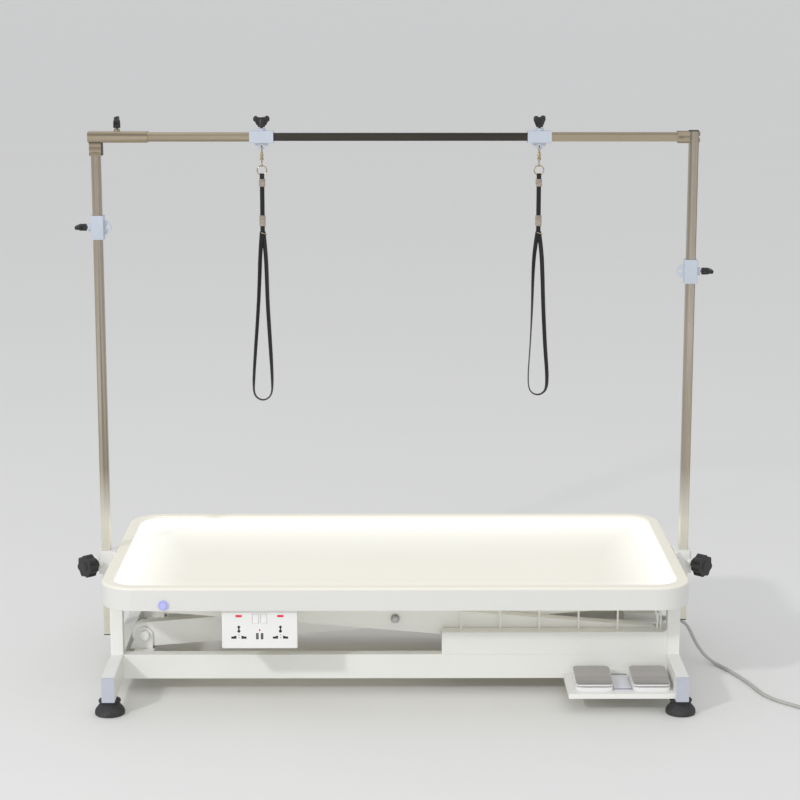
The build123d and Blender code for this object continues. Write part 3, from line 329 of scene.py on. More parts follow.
# ---- shaping ------------------------------------------------------------------------------
def facing(origin, out, across=None):
    """A frame at a point with its Z along one direction and, if given, its X near another."""
    z = Vector(out).normalized()
    x = Vector(across) if across else Vector((0, 0, 1)).cross(z)
    if x.length < 1e-6:
        x = Vector((1, 0, 0))
    x = (x - x.dot(z) * z).normalized()
    y = z.cross(x)
    made = Matrix((x, y, z)).transposed().to_4x4()
    made.translation = Vector(origin)
    return made


def soften(part, edges, offset, steps=3):
    bmesh.ops.bevel(part, geom=list(edges), offset=offset, segments=steps, profile=0.5, affect="EDGES")


def turn_angles(count):
    """The angles of count equal steps round a full turn."""
    return [2 * math.pi * k / count for k in range(count)]


def hexagon(radius):
    return [(radius * math.cos(math.radians(60 * k)), radius * math.sin(math.radians(60 * k))) for k in range(6)]


class Shape:
    """Builds one piece from several closed forms."""

    def __init__(self):
        self.bm = bmesh.new()

    def take(self, part, place=None, material=0):
        if place is not None:
            bmesh.ops.transform(part, matrix=place, verts=part.verts)
        bmesh.ops.recalc_face_normals(part, faces=part.faces)
        for face in part.faces:
            face.material_index = material
        mesh = bpy.data.meshes.new("part")
        part.to_mesh(mesh)
        part.free()
        self.bm.from_mesh(mesh)
        bpy.data.meshes.remove(mesh)
        return self

    def lathe(self, profile, place=None, material=0, segments=48):
        """A turned form from (radius, height) points, closed where the radius is nought."""
        part = bmesh.new()
        rings = []
        for radius, z in profile:
            if radius <= 0:
                rings.append([part.verts.new((0, 0, z))])
            else:
                rings.append([part.verts.new((radius * math.cos(a), radius * math.sin(a), z))
                              for a in turn_angles(segments)])
        for lower, upper in zip(rings, rings[1:]):
            for k in range(segments):
                n = (k + 1) % segments
                if len(lower) == 1 and len(upper) == 1:
                    continue
                if len(lower) == 1:
                    part.faces.new((lower[0], upper[n], upper[k]))
                elif len(upper) == 1:
                    part.faces.new((lower[k], lower[n], upper[0]))
                else:
                    part.faces.new((lower[k], lower[n], upper[n], upper[k]))
        if len(rings[0]) > 1 and len(rings[-1]) > 1 and profile[0] == profile[-1]:
            bmesh.ops.remove_doubles(part, verts=part.verts, dist=1e-6)
        return self.take(part, place, material)

    def block(self, size, place=None, material=0, round_by=0.8, steps=3):
        part = bmesh.new()
        bmesh.ops.create_cube(part, size=1.0)
        bmesh.ops.scale(part, vec=size, verts=part.verts)
        if round_by:
            soften(part, part.edges, round_by, steps)
        return self.take(part, place, material)

    def between(self, x0, x1, y0, y1, z0, z1, material=0, round_by=0.8, steps=3):
        place = Matrix.Translation(((x0 + x1) / 2, (y0 + y1) / 2, (z0 + z1) / 2))
        return self.block((x1 - x0, y1 - y0, z1 - z0), place, material, round_by, steps)

    def prism(self, outline, depth, place=None, material=0, round_by=0.8, steps=3):
        """A flat outline in X-Y given depth along Z about its middle, with its rims rounded."""
        part = bmesh.new()
        lower = [part.verts.new((x, y, -depth / 2)) for x, y in outline]
        upper = [part.verts.new((x, y, depth / 2)) for x, y in outline]
        caps = [part.faces.new(lower[::-1]), part.faces.new(upper)]
        for k in range(len(outline)):
            n = (k + 1) % len(outline)
            part.faces.new((lower[k], lower[n], upper[n], upper[k]))
        if round_by:
            soften(part, {edge for cap in caps for edge in cap.edges}, round_by, steps)
        return self.take(part, place, material)

    def wire(self, points, radius, closed=False, place=None, material=0, sides=12):
        """A round bar along points, for rings, hooks and pins."""
        spots = [Vector(p) for p in points]
        count = len(spots)
        part = bmesh.new()
        rings, normal = [], None
        for k, spot in enumerate(spots):
            after = spots[(k + 1) % count] if closed or k + 1 < count else spot
            before = spots[k - 1] if closed or k else spot
            ahead = (after - before).normalized()
            if normal is None:
                normal = ahead.orthogonal().normalized()
            normal = (normal - normal.dot(ahead) * ahead).normalized()
            side = ahead.cross(normal)
            rings.append([part.verts.new(spot + radius * (math.cos(a) * normal + math.sin(a) * side))
                          for a in turn_angles(sides)])
        pairs = list(zip(rings, rings[1:])) + ([(rings[-1], rings[0])] if closed else [])
        for lower, upper in pairs:
            for s in range(sides):
                n = (s + 1) % sides
                part.faces.new((lower[s], lower[n], upper[n], upper[s]))
        if not closed:
            part.faces.new(rings[0][::-1])
            part.faces.new(rings[-1])
        return self.take(part, place, material)

    def ring(self, centre, normal, mean, wire, material=0, steps=40):
        spots = [(mean * math.cos(a), mean * math.sin(a), 0) for a in turn_angles(steps)]
        return self.wire(spots, wire, True, facing(centre, normal), material)

    def piece(self, name, body, slot, materials, stands_for=(), sharp=38.0):
        """Makes the piece, in metres, riding on its body."""
        bmesh.ops.scale(self.bm, vec=(MM, MM, MM), verts=self.bm.verts)
        mesh = bpy.data.meshes.new(name)
        self.bm.to_mesh(mesh)
        self.bm.free()
        for material in materials if isinstance(materials, (list, tuple)) else [materials]:
            mesh.materials.append(material)
        mesh.shade_smooth()
        mesh.set_sharp_from_angle(angle=math.radians(sharp))
        made = bpy.data.objects.new(name, mesh)
        bpy.context.collection.objects.link(made)
        return settle(made, body, stands_for)


def settle(made, body, stands_for=()):
    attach(made, body)
    if stands_for:
        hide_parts(*stands_for)
    return made


def finish_node(node, material):
    """Puts a material on a CAD node that stays."""
    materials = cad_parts[node].data.materials
    materials.clear()
    materials.append(material)


# ---- mains lead ---------------------------------------------------------------------------
CORD_R = 3.5
FLOOR_Z = CORD_R + 0.1
BOX_FACE = 541.5
GLAND_Y, GLAND_Z = 28.0, 91.0
CORD_START = BOX_FACE + 30.0
COIL_X, COIL_Y, COIL_HIGH = 872.0, -296.0, 14.2
PLUG_X, PLUG_Y, PLUG_Z = COIL_X + 45.0, -246.0, 8.5
LEAD_OUT = [
    (CORD_START, GLAND_Y, GLAND_Z), (582.0, GLAND_Y, GLAND_Z), (594.5, GLAND_Y, 88.2), (607.5, 28.0, 80.0),
    (617.0, 27.4, 66.5), (625.0, 25.5, 49.0), (635.0, 21.0, 30.5), (648.0, 11.0, 15.0), (663.0, -6.0, 5.0),
    (678.0, -31.0, FLOOR_Z), (694.0, -70.0, FLOOR_Z), (709.0, -114.0, FLOOR_Z), (721.0, -160.0, FLOOR_Z),
    (731.0, -206.0, FLOOR_Z), (752.0, -243.0, FLOOR_Z), (782.0, -274.0, FLOOR_Z), (811.0, -304.0, FLOOR_Z),
]
LEAD_END = [
    (COIL_X + 46.0, COIL_Y + 14, COIL_HIGH - 4.6), (COIL_X + 45.0, COIL_Y + 30, PLUG_Z), (PLUG_X, PLUG_Y, PLUG_Z),
]
PLUG_FLATNESS = 0.6
TIE_HALF, TIE_THICK, TIE_STEPS = (11.9, 7.55), 0.9, 36
COIL_STEPS = 16
COIL_TURNS = 5.375
COIL_START = 225.0


def coil_point(turns):
    """A place on the wound part: in along the floor, up at the middle, and out again on top."""
    outer, inner, top = 45.5, 31.0, FLOOR_Z + 2 * CORD_R
    if turns < 0.25:
        radius, z = outer, FLOOR_Z
    elif turns < 2.35:
        radius, z = outer - (turns - 0.25) / 2.1 * (outer - inner), FLOOR_Z
    elif turns < 3.0:
        radius, z = inner, FLOOR_Z + (turns - 2.35) / 0.65 * (top - FLOOR_Z)
    elif turns < 5.1:
        radius, z = inner + (turns - 3.0) / 2.1 * (outer - inner), top
    else:
        radius, z = outer, top
    radius *= 1 + 0.012 * math.sin(5.3 * turns)
    angle = math.radians(COIL_START + 360 * turns)
    pull = 1 / math.cos(math.pi / COIL_STEPS)
    return (COIL_X + radius * pull * math.cos(angle), COIL_Y + radius * pull * math.sin(angle), z)


def spline_curve(name, points, radius, material):
    data = bpy.data.curves.new(name, "CURVE")
    data.dimensions = "3D"
    data.bevel_depth = radius * MM
    data.bevel_resolution = 5
    data.resolution_u = 8
    data.use_fill_caps = True
    line = data.splines.new("NURBS")
    line.points.add(len(points) - 1)
    for spot, point in zip(line.points, points):
        spot.co = (point[0] * MM, point[1] * MM, point[2] * MM, 1.0)
    line.order_u = 3
    line.use_endpoint_u = True
    data.materials.append(material)
    made = bpy.data.objects.new(name, data)
    bpy.context.collection.objects.link(made)
    return made


def mains_lead():
    coil = [coil_point(k / COIL_STEPS) for k in range(round(COIL_TURNS * COIL_STEPS) + 1)]
    lead = spline_curve("mains_cord", LEAD_OUT + coil + LEAD_END, CORD_R, CABLE)
    settle(lead, "base", ["mains_lead", "mains_coil"])
    gland = Shape()
    gland.prism(hexagon(10.5), 6.0, facing((BOX_FACE + 3.1, GLAND_Y, GLAND_Z), (1, 0, 0)), round_by=1.0)
    taper = [(0, 0), (7.6, 0), (7.6, 2.0)]
    for k in range(6):
        wide, up = 7.2 - 0.45 * k, 3.2 * k
        taper += [(wide, 2.5 + up), (wide, 4.2 + up), (wide - 1.3, 4.6 + up), (wide - 1.3, 5.4 + up)]
    taper += [(4.4, 22.4), (4.3, 23.2), (3.4, 23.8), (0, 23.8)]
    gland.lathe(taper, facing((BOX_FACE + 6.0, GLAND_Y, GLAND_Z), (1, 0, 0)))
    relief = gland.piece("cable_relief", "base", "cable_grey", CABLE, ["cable_gland"])
    plug = Shape()
    place = facing((PLUG_X, PLUG_Y, PLUG_Z), (0, 1, 0), (1, 0, 0))
    body = [(0, 0.5), (5.2, 0.5), (6.0, 3), (7.0, 7), (9.0, 12), (12.6, 17), (13.8, 21), (13.9, 35), (13.2, 38.6),
            (12, 39.6), (0, 39.6)]
    plug.lathe(body, place @ Matrix.Diagonal((1, PLUG_FLATNESS, 1, 1)), segments=40)
    for z in (21, 25, 29, 33):
        plug.block((20, 17.0, 1.8), place @ Matrix.Translation((0, 0, z)), round_by=0.7)
    for side in (-1, 1):
        spot = place @ Matrix.Translation((side * 9.5, 0, 0))
        plug.lathe([(0, 39), (2.4, 39), (2.4, 47), (2.0, 47.5), (2.0, 56), (1.5, 57.6), (0, 58)], spot, 1, 20)
    plug = plug.piece("mains_plug_body", "base", "cable_grey", [CABLE, ZINC], ["mains_plug"])
    tie = Shape()
    spot = facing((COIL_X, COIL_Y + 38.5, COIL_HIGH / 2), (1, 0, 0), (0, 1, 0))
    loop = []
    for a in turn_angles(TIE_STEPS):
        x, y = math.cos(a), math.sin(a)
        size = (abs(x) ** 4 + abs(y) ** 4) ** 0.25
        loop.append((TIE_HALF[0] * x / size, TIE_HALF[1] * y / size))
    band = bmesh.new()
    rings = []
    for z, grow in ((-3, 0), (3, 0), (3, -TIE_THICK), (-3, -TIE_THICK)):
        rings.append([band.verts.new((x * (1 + grow / TIE_HALF[0]), y * (1 + grow / TIE_HALF[1]), z)) for x, y in loop])
    for lower, upper in zip(rings, rings[1:] + rings[:1]):
        for k in range(TIE_STEPS):
            n = (k + 1) % TIE_STEPS
            band.faces.new((lower[k], lower[n], upper[n], upper[k]))
    tie.take(band, spot)
    for vert in tie.bm.verts:
        vert.co.z = min(max(vert.co.z, 0.1), COIL_HIGH)
    tie = tie.piece("coil_tie", "base", "black_plastic", BLACK)


# ---- nooses -------------------------------------------------------------------------------
CLAMP_X = {"left": -265.0, "right": 287.5}
STRAP_WIDE, STRAP_THICK = 9.0, 2.5
TAB_HOLE_Z = 1076.0
RING_Z, RING_R = 1027.6, 9.5
LOOP_TOP = 904.9
FERRULES_Z = ((1011.0, 995.0), (938.0, 916.0))
LOOPS = {
    "left": [(-1.4, 904.9), (-5.4, 862), (-7.2, 815), (-10, 762), (-14, 707), (-18.2, 655), (-21.8, 604),
             (-22, 573.7), (-10.5, 562), (3.7, 562), (15.2, 573.7), (16, 604), (13.8, 655), (11, 707),
             (8.2, 762), (7.2, 815), (5.6, 862), (1.4, 904.9)],
    "right": [(-1.4, 904.9), (-7.2, 868), (-9.6, 820), (-10.2, 768), (-11.8, 712), (-14.2, 660), (-17, 618),
              (-16.2, 584.2), (-4.8, 572.4), (9.6, 572.4), (21, 584), (21.6, 615), (17.6, 660), (14.2, 712),
              (11.4, 768), (9.6, 820), (7, 868), (1.4, 904.9)],
}
TWISTS = {
    "left": ([(904.9, 10), (862, 33), (779, 44), (700, 48), (655, 52), (604, 62), (585, 76), (562, 90)],
             [(904.9, 10), (862, 22), (779, 28), (700, 30), (655, 36), (604, 56), (585, 70), (562, 90)]),
    "right": ([(904.9, 10), (868, 26), (820, 46), (768, 62), (712, 76), (660, 84), (572, 90)],
              [(904.9, 10), (868, 20), (768, 34), (660, 38), (618, 44), (594, 54), (572, 90)]),
}


def route_line(points):
    """The smooth line that a NURBS spline through these control points gives, in millimetres."""
    bare = spline_curve("bare_route", points, 0.0, CABLE)
    bare.data.bevel_depth = 0.0
    bare.data.use_fill_caps = False
    mesh = bpy.data.meshes.new_from_object(bare)
    line = [v.co / MM for v in mesh.vertices]
    data = bare.data
    bpy.data.objects.remove(bare)
    bpy.data.curves.remove(data)
    bpy.data.meshes.remove(mesh)
    return line


def flat_strap(shape, line, widths):
    """A flat band with rounded edges along a line; widths gives its width direction at each point."""
    section = []
    half, thick = STRAP_WIDE / 2, STRAP_THICK / 2
    for u, v in ((-1, 0), (-0.97, 0.55), (-0.86, 0.86), (-0.45, 1.0), (0, 1.03), (0.45, 1.0), (0.86, 0.86),
                 (0.97, 0.55), (1, 0), (0.97, -0.55), (0.86, -0.86), (0.45, -1.0), (0, -1.03), (-0.45, -1.0),
                 (-0.86, -0.86), (-0.97, -0.55)):
        section.append((u * half, v * thick))
    bm = shape.bm
    layer = bm.loops.layers.uv.verify()
    rings, along = [], 0.0
    for k, spot in enumerate(line):
        ahead = (line[min(k + 1, len(line) - 1)] - line[max(k - 1, 0)]).normalized()
        wide = widths[k] - widths[k].dot(ahead) * ahead
        wide.normalize()
        up = ahead.cross(wide)
        if k:
            along += (spot - line[k - 1]).length
        rings.append(([bm.verts.new(spot + wide * u + up * v) for u, v in section], along))
    count = len(section)
    for (lower, at0), (upper, at1) in zip(rings, rings[1:]):
        for s in range(count):
            n = (s + 1) % count
            face = bm.faces.new((lower[s], lower[n], upper[n], upper[s]))
            for loop, (at, which) in zip(face.loops, ((at0, s), (at0, n), (at1, n), (at1, s))):
                loop[layer].uv = (at * MM, section[which][0] * MM)
    bm.faces.new(rings[0][0][::-1])
    bm.faces.new(rings[-1][0])


def twist_at(rows, z):
    if z >= rows[0][0]:
        return rows[0][1]
    for (z0, a0), (z1, a1) in zip(rows, rows[1:]):
        if z >= z1:
            return a0 + (a1 - a0) * (z0 - z) / (z0 - z1)
    return rows[-1][1]


def noose(side):
    x = CLAMP_X[side]
    body = "noose_" + side
    points = [(x + dx, 0.0, z) for dx, z in LOOPS[side]]
    # the two limbs lie one in front of the other where they meet
    for index, lift in ((0, -1.5), (1, -1.2), (-1, 1.5), (-2, 1.2)):
        px, py, pz = points[index]
        points[index] = (px, lift, pz)
    line = route_line(points)
    widths = []
    for k, spot in enumerate(line):
        second = k >= len(line) // 2
        turn = math.radians(twist_at(TWISTS[side][second], spot.z))
        if second:
            turn = math.pi - turn
        widths.append(Vector((math.cos(turn), math.sin(turn), 0)))
    loop = Shape()
    flat_strap(loop, line, widths)
    made = loop.piece("noose_loop_" + side, body, "strap_black", STRAP, ["noose_strap_" + side])
    # the doubled upper strap, folded round the ring
    doubled = Shape()
    fold_z, fold_r, steps, apart = RING_Z - RING_R + 0.6, 4.2, 14, 1.35
    route = [Vector((x, -apart, LOOP_TOP - 6)), Vector((x, -apart, fold_z - 12))]
    for k in range(steps + 1):
        a = math.pi * k / steps
        y = -fold_r * math.cos(a) * (1 if 0 < k < steps else 0.95)
        route.append(Vector((x, y, fold_z - 4 + (fold_r + 1.4) * math.sin(a))))
    route += [Vector((x, apart, fold_z - 12)), Vector((x, apart, LOOP_TOP - 6))]
    dense = []
    for p, q in zip(route, route[1:]):
        pieces = max(1, round((q - p).length / 6))
        dense += [p.lerp(q, n / pieces) for n in range(pieces)]
    dense.append(route[-1])
    flat_strap(doubled, dense, [Vector((1, 0, 0))] * len(dense))
    upper = doubled.piece("noose_upper_" + side, body, "strap_black", STRAP)
    fittings = Shape()
    fittings.ring((x, 0, RING_Z), (0, 1, 0), RING_R, 1.15)
    fittings.ring((x, 0, 1039.4), (1, 0, 0), 4.3, 1.2)
    fittings.lathe([(0, 0), (1.6, 0), (1.6, 10), (2.6, 10.4), (2.6, 11.2), (0, 11.2)],
                   facing((x, 0, 1043.6), (0, 0, 1)), segments=24)
    for top, bottom in FERRULES_Z:
        tall = top - bottom
        fittings.block((12.4, 8.4, tall), Matrix.Translation((x, 0, (top + bottom) / 2)), 1, 1.6, 4)
        for level in (0.18, 0.82):
            fittings.block((12.8, 8.8, 1.0), Matrix.Translation((x, 0, bottom + level * tall)), 1, 0.45, 2)
    fittings.ring((x + 2.2, 0.0, 901.5), (0.35, 0.1, 1), 6.6, 0.9)
    fittings = fittings.piece("noose_metal_" + side, body, "zinc_fitting", [GOLD, NICKEL], ["noose_fittings_" + side])
    hook = Shape()
    z0 = TAB_HOLE_Z - 6.2
    bow = []
    for k in range(33):
        a = math.radians(-64 + 308 * k / 32)
        bow.append((x, 5.6 * math.cos(a), z0 + 6.6 * math.sin(a)))
    hook.wire(bow, 1.55, sides=14)
    hook.wire([(x, 2.6, z0 - 6.2), (x, 4.6, z0 - 3.6), (x, 5.7, z0)], 1.25)
    hook.lathe([(0, 0), (1.2, 0), (1.2, 3.2), (2.0, 3.6), (2.0, 4.8), (0, 5.2)],
               facing((x, 5.4, z0 - 1), (0, 1, 0)), segments=16)
    hook.lathe([(1.8, 1048), (3.4, 1048.2), (4.0, 1049.2), (4.0, 1051.2), (3.2, 1052), (3.0, 1056.5), (3.6, 1057.5),
                (3.6, 1059.5), (2.6, 1061), (2.2, 1063.8), (0, 1064.2)], Matrix.Translation((x, 0, 0)), segments=32)
    hook.lathe([(1.8, 1048), (1.8, 1055.8), (0, 1055.8)], Matrix.Translation((x, 0, 0)), segments=32)
    hook.piece("snap_hook_" + side, "noose_hook_" + side, "zinc_fitting", GOLD, ["noose_hook_" + side])


mains_lead()
for side in CLAMP_X:
    noose(side)


# ---- knobs and screws ---------------------------------------------------------------------
BAR_Z, BAR_HALF, POST_X = 1094.0, 9.0, 595.0
STAR_Z, STAR_LOBES = 222.0, 7
EYE_Z = {"left": 914.0, "right": 825.0}
LOOP_TURN = {"left": 20, "right": 50}
CORNER_WING_X = -552.0


def thread(start, end, pitch, crest, root, fall):
    """The crests and roots of a screw thread, as a profile to be turned."""
    profile, z = [], start
    while z < end:
        profile += [(crest, z), (root, z + fall)]
        z += pitch
    return profile


def star_knob(side):
    sign = -1 if side == "left" else 1
    place = facing((sign * POST_X, 0, STAR_Z), (sign, -1, 0), (0, 0, 1))
    outline = []
    for a in turn_angles(140):
        wave = 0.5 + 0.5 * math.cos(STAR_LOBES * a)
        radius = 19.4 + 3.9 * wave ** 0.7
        outline.append((radius * math.cos(a), radius * math.sin(a)))
    knob = Shape()
    knob.prism(outline, 19.6, place @ Matrix.Translation((0, 0, 48)), 0, 2.4, 4)
    knob.lathe([(4.1, 26.2), (9.0, 26.2), (9.6, 27.0), (10.8, 37.0), (12.5, 38.6), (4.1, 38.6)], place, 0)
    knob.lathe([(0, 57.2), (9.5, 57.2), (10.2, 58.4), (8.8, 58.9), (0, 58.4)], place, 0)
    stud = [(0, 12.8), (3.2, 12.8)] + thread(13.4, 26.6, 1.25, 3.95, 3.35, 0.62)
    knob.lathe(stud + [(3.9, 27.0), (3.9, 40.0), (0, 40.0)], place, 1, 32)
    knob.piece("star_grip_" + side, "star_knob_" + side, "black_plastic", [BLACK, ZINC], ["star_knob_" + side])


WING = [(-6, 0), (6, 0), (7.0, 5), (8.5, 8.5), (12.5, 10.6), (16.3, 12.6), (16.6, 16.5), (15.8, 20), (12.8, 22.4),
        (10.2, 22.4), (7.2, 19.6), (4, 17.4), (0, 16.8), (-4, 17.4), (-7.2, 19.6), (-10.2, 22.4), (-12.8, 22.4),
        (-15.8, 20), (-16.6, 16.5), (-16.3, 12.6), (-12.5, 10.6), (-8.5, 8.5), (-7.0, 5)]


def wing_screw(name, node, body, tip, outward, stem, across, turn):
    """A two-winged knob on its threaded stem, standing off the clamp."""
    place = facing(tip, outward, across) @ Matrix.Rotation(math.radians(turn), 4, "Z")
    flat = place @ Matrix.Translation((0, 0, stem)) @ Matrix.Rotation(math.radians(90), 4, "X")
    knob = Shape()
    knob.prism(WING, 7.8, flat, 0, 2.2, 4)
    knob.lathe([(3.05, stem), (6.4, stem), (7.2, stem + 1.0), (7.0, stem + 13), (5.6, stem + 16.2), (0, stem + 17.0)],
               place, 0)
    stud = [(0, 0.2), (2.4, 0.2)] + thread(0.8, stem - 0.4, 1.0, 2.95, 2.5, 0.5)
    knob.lathe(stud + [(2.9, stem), (2.9, stem + 7.6), (0, stem + 7.6)], place, 1, 28)
    knob.piece(name, body, "black_plastic", [BLACK, ZINC], [node])


for side, sign in (("left", -1), ("right", 1)):
    star_knob(side)
    wing_screw("loop_wing_" + side, "loop_wing_screw_" + side, "loop_screw_" + side,
               (CLAMP_X[side], 0, BAR_Z + BAR_HALF + 0.2), (0, 0, 1), 10.0, (1, 0, 0), LOOP_TURN[side])
    wing_screw("eye_wing_" + side, "eye_wing_screw_" + side, "eye_screw_" + side,
               (sign * (POST_X + BAR_HALF + 0.2), 0, EYE_Z[side]), (sign, 0, 0), 13.0, (0, 0, 1), 90)
wing_screw("corner_wing", "corner_wing_screw", "corner_screw", (CORNER_WING_X, 0, BAR_Z + BAR_HALF + 0.2),
           (0, 0, 1), 8.5, (1, 0, 0), 90)


# ---- feet ---------------------------------------------------------------------------------
def foot(name, x, y):
    shape = Shape()
    place = Matrix.Translation((x, y, 0))
    shape.lathe([(0, 0), (26.8, 0), (28.3, 0.7), (29, 2.4), (29, 7.0), (28.2, 9.6), (26.0, 13.0), (23.2, 16.4),
                 (20.8, 19.4), (19.4, 21.8), (19.2, 23.2), (20.2, 24.4), (21.4, 25.4), (21.6, 28.0), (20.8, 29.2),
                 (19, 29.7), (0, 29.7)], place, 0, 64)
    stud = [(0, 20), (4.4, 20)] + thread(29.8, 55.0, 1.5, 4.9, 4.45, 0.75)
    shape.lathe(stud + [(4.2, 55.8), (0, 56)], place, 1, 28)
    shape.piece(name + "_bell", name, "foot_rubber", [RUBBER, ZINC], [name])


for row, y in (("front", -305.0), ("rear", 305.0)):
    for side, x in (("left", -554.0), ("right", 554.0)):
        foot("foot_%s_%s" % (row, side), x, y)


# ---- pedals -------------------------------------------------------------------------------
TRAY_TOP = 41.0
PEDAL_X = {"left": (350.5, 424.5), "right": (461.5, 535.5)}
PEDAL_Y = (-299.0, -203.0)
PEDAL_SLOPE = math.atan2(7.5, PEDAL_Y[1] - PEDAL_Y[0])
TRAY_SCREW_X, RAIL_FACE = (383.0, 489.0), -185.0


def rounded_plan(wide, deep, corner, steps=8):
    """A rectangle about the origin with round corners."""
    points = []
    for cx, cy, start in ((1, -1, -90), (1, 1, 0), (-1, 1, 90), (-1, -1, 180)):
        for k in range(steps + 1):
            a = math.radians(start + 90 * k / steps)
            points.append((cx * (wide / 2 - corner) + corner * math.cos(a),
                           cy * (deep / 2 - corner) + corner * math.sin(a)))
    return points


def pedals():
    mid_y = sum(PEDAL_Y) / 2
    deep = PEDAL_Y[1] - PEDAL_Y[0]
    for side, (x0, x1) in PEDAL_X.items():
        x = (x0 + x1) / 2
        lie = Matrix.Translation((x, mid_y, TRAY_TOP + 16.5)) @ Matrix.Rotation(PEDAL_SLOPE, 4, "X")
        cover = Shape()
        lip = lie @ Matrix.Translation((0, -deep / 2 + 3.4, 1.5))
        cover.prism(rounded_plan(73.6, deep - 0.4, 10), 2.4, lie @ Matrix.Translation((0, 0, -0.9)), 1, 1.0, 4)
        cover.prism(rounded_plan(71.0, deep - 3.0, 9), 1.5, lie @ Matrix.Translation((0, 0.4, 1.0)), 0, 0.7, 4)
        cover.prism(rounded_plan(66.0, 2.2, 1.05), 0.8, lip, 2, 0.35)
        cover.piece("pedal_cover_" + side, "pedal_" + side, "pedal_grey", [PEDAL_TOP, PEDAL_WHITE, ZINC],
                    ["pedal_" + side])
    body = Shape()
    for x0, x1 in PEDAL_X.values():
        x = (x0 + x1) / 2
        body.prism(rounded_plan(74, deep, 11), 3.2, Matrix.Translation((x, mid_y, TRAY_TOP + 1.6)), 0, 1.0)
        part = bmesh.new()
        plan = rounded_plan(72.6, deep - 1.2, 10)
        lower = [part.verts.new((px, py, 3.2)) for px, py in plan]
        upper = [part.verts.new((px, py, 11.0 + py * math.tan(PEDAL_SLOPE))) for px, py in plan]
        part.faces.new(lower[::-1])
        top = part.faces.new(upper)
        for k in range(len(plan)):
            n = (k + 1) % len(plan)
            part.faces.new((lower[k], lower[n], upper[n], upper[k]))
        soften(part, top.edges, 1.0)
        body.take(part, Matrix.Translation((x, mid_y, TRAY_TOP)))
    x0, x1 = PEDAL_X["left"][1] + 1.5, PEDAL_X["right"][0] - 1.5
    body.between(x0, x1, PEDAL_Y[0] + 6, PEDAL_Y[1] + 4, TRAY_TOP, TRAY_TOP + 3, 1, 0.5)
    # dark strips across both ends of the bridge: painted shade for the slots there
    for y in (PEDAL_Y[0] + 7.4, PEDAL_Y[1] + 2.6):
        body.between(x0, x1, y - 1.5, y + 1.5, TRAY_TOP + 2.6, TRAY_TOP + 3.3, 2, 0.2)
    body.piece("pedal_bodies", "base", "pedal_white", [PEDAL_WHITE, BRIDGE, SHADE_DARK], ["pedal_housings"])
    screws = Shape()
    pan = [(0, 0), (3.6, 0), (3.6, 0.8), (2.8, 2.0), (1.4, 2.3), (0, 2.3)]
    for x in TRAY_SCREW_X:
        screws.lathe(pan, facing((x, RAIL_FACE, TRAY_TOP + 4.6), (0, -1, 0)), segments=24)
    screws.piece("tray_screws", "base", "steel_mechanism", ZINC)


pedals()


# ---- socket panel and button --------------------------------------------------------------
PLATE_X, PLATE_FACE = -262.5, -291.0
SOCKET_DX, PIN_ROW_Z = 40.2, 149.7
PIN_SLOT = ((-5.0, -3.3), (5.0, -3.3), (5.0, 1.1), (0.5, 1.3), (-4.0, 3.0), (-5.0, 3.0))
PIN_DX, SLOT_FILL = 9.8, 0.985
BUTTON_X, BUTTON_FACE, BUTTON_Z = -447.0, -304.05, 216.5


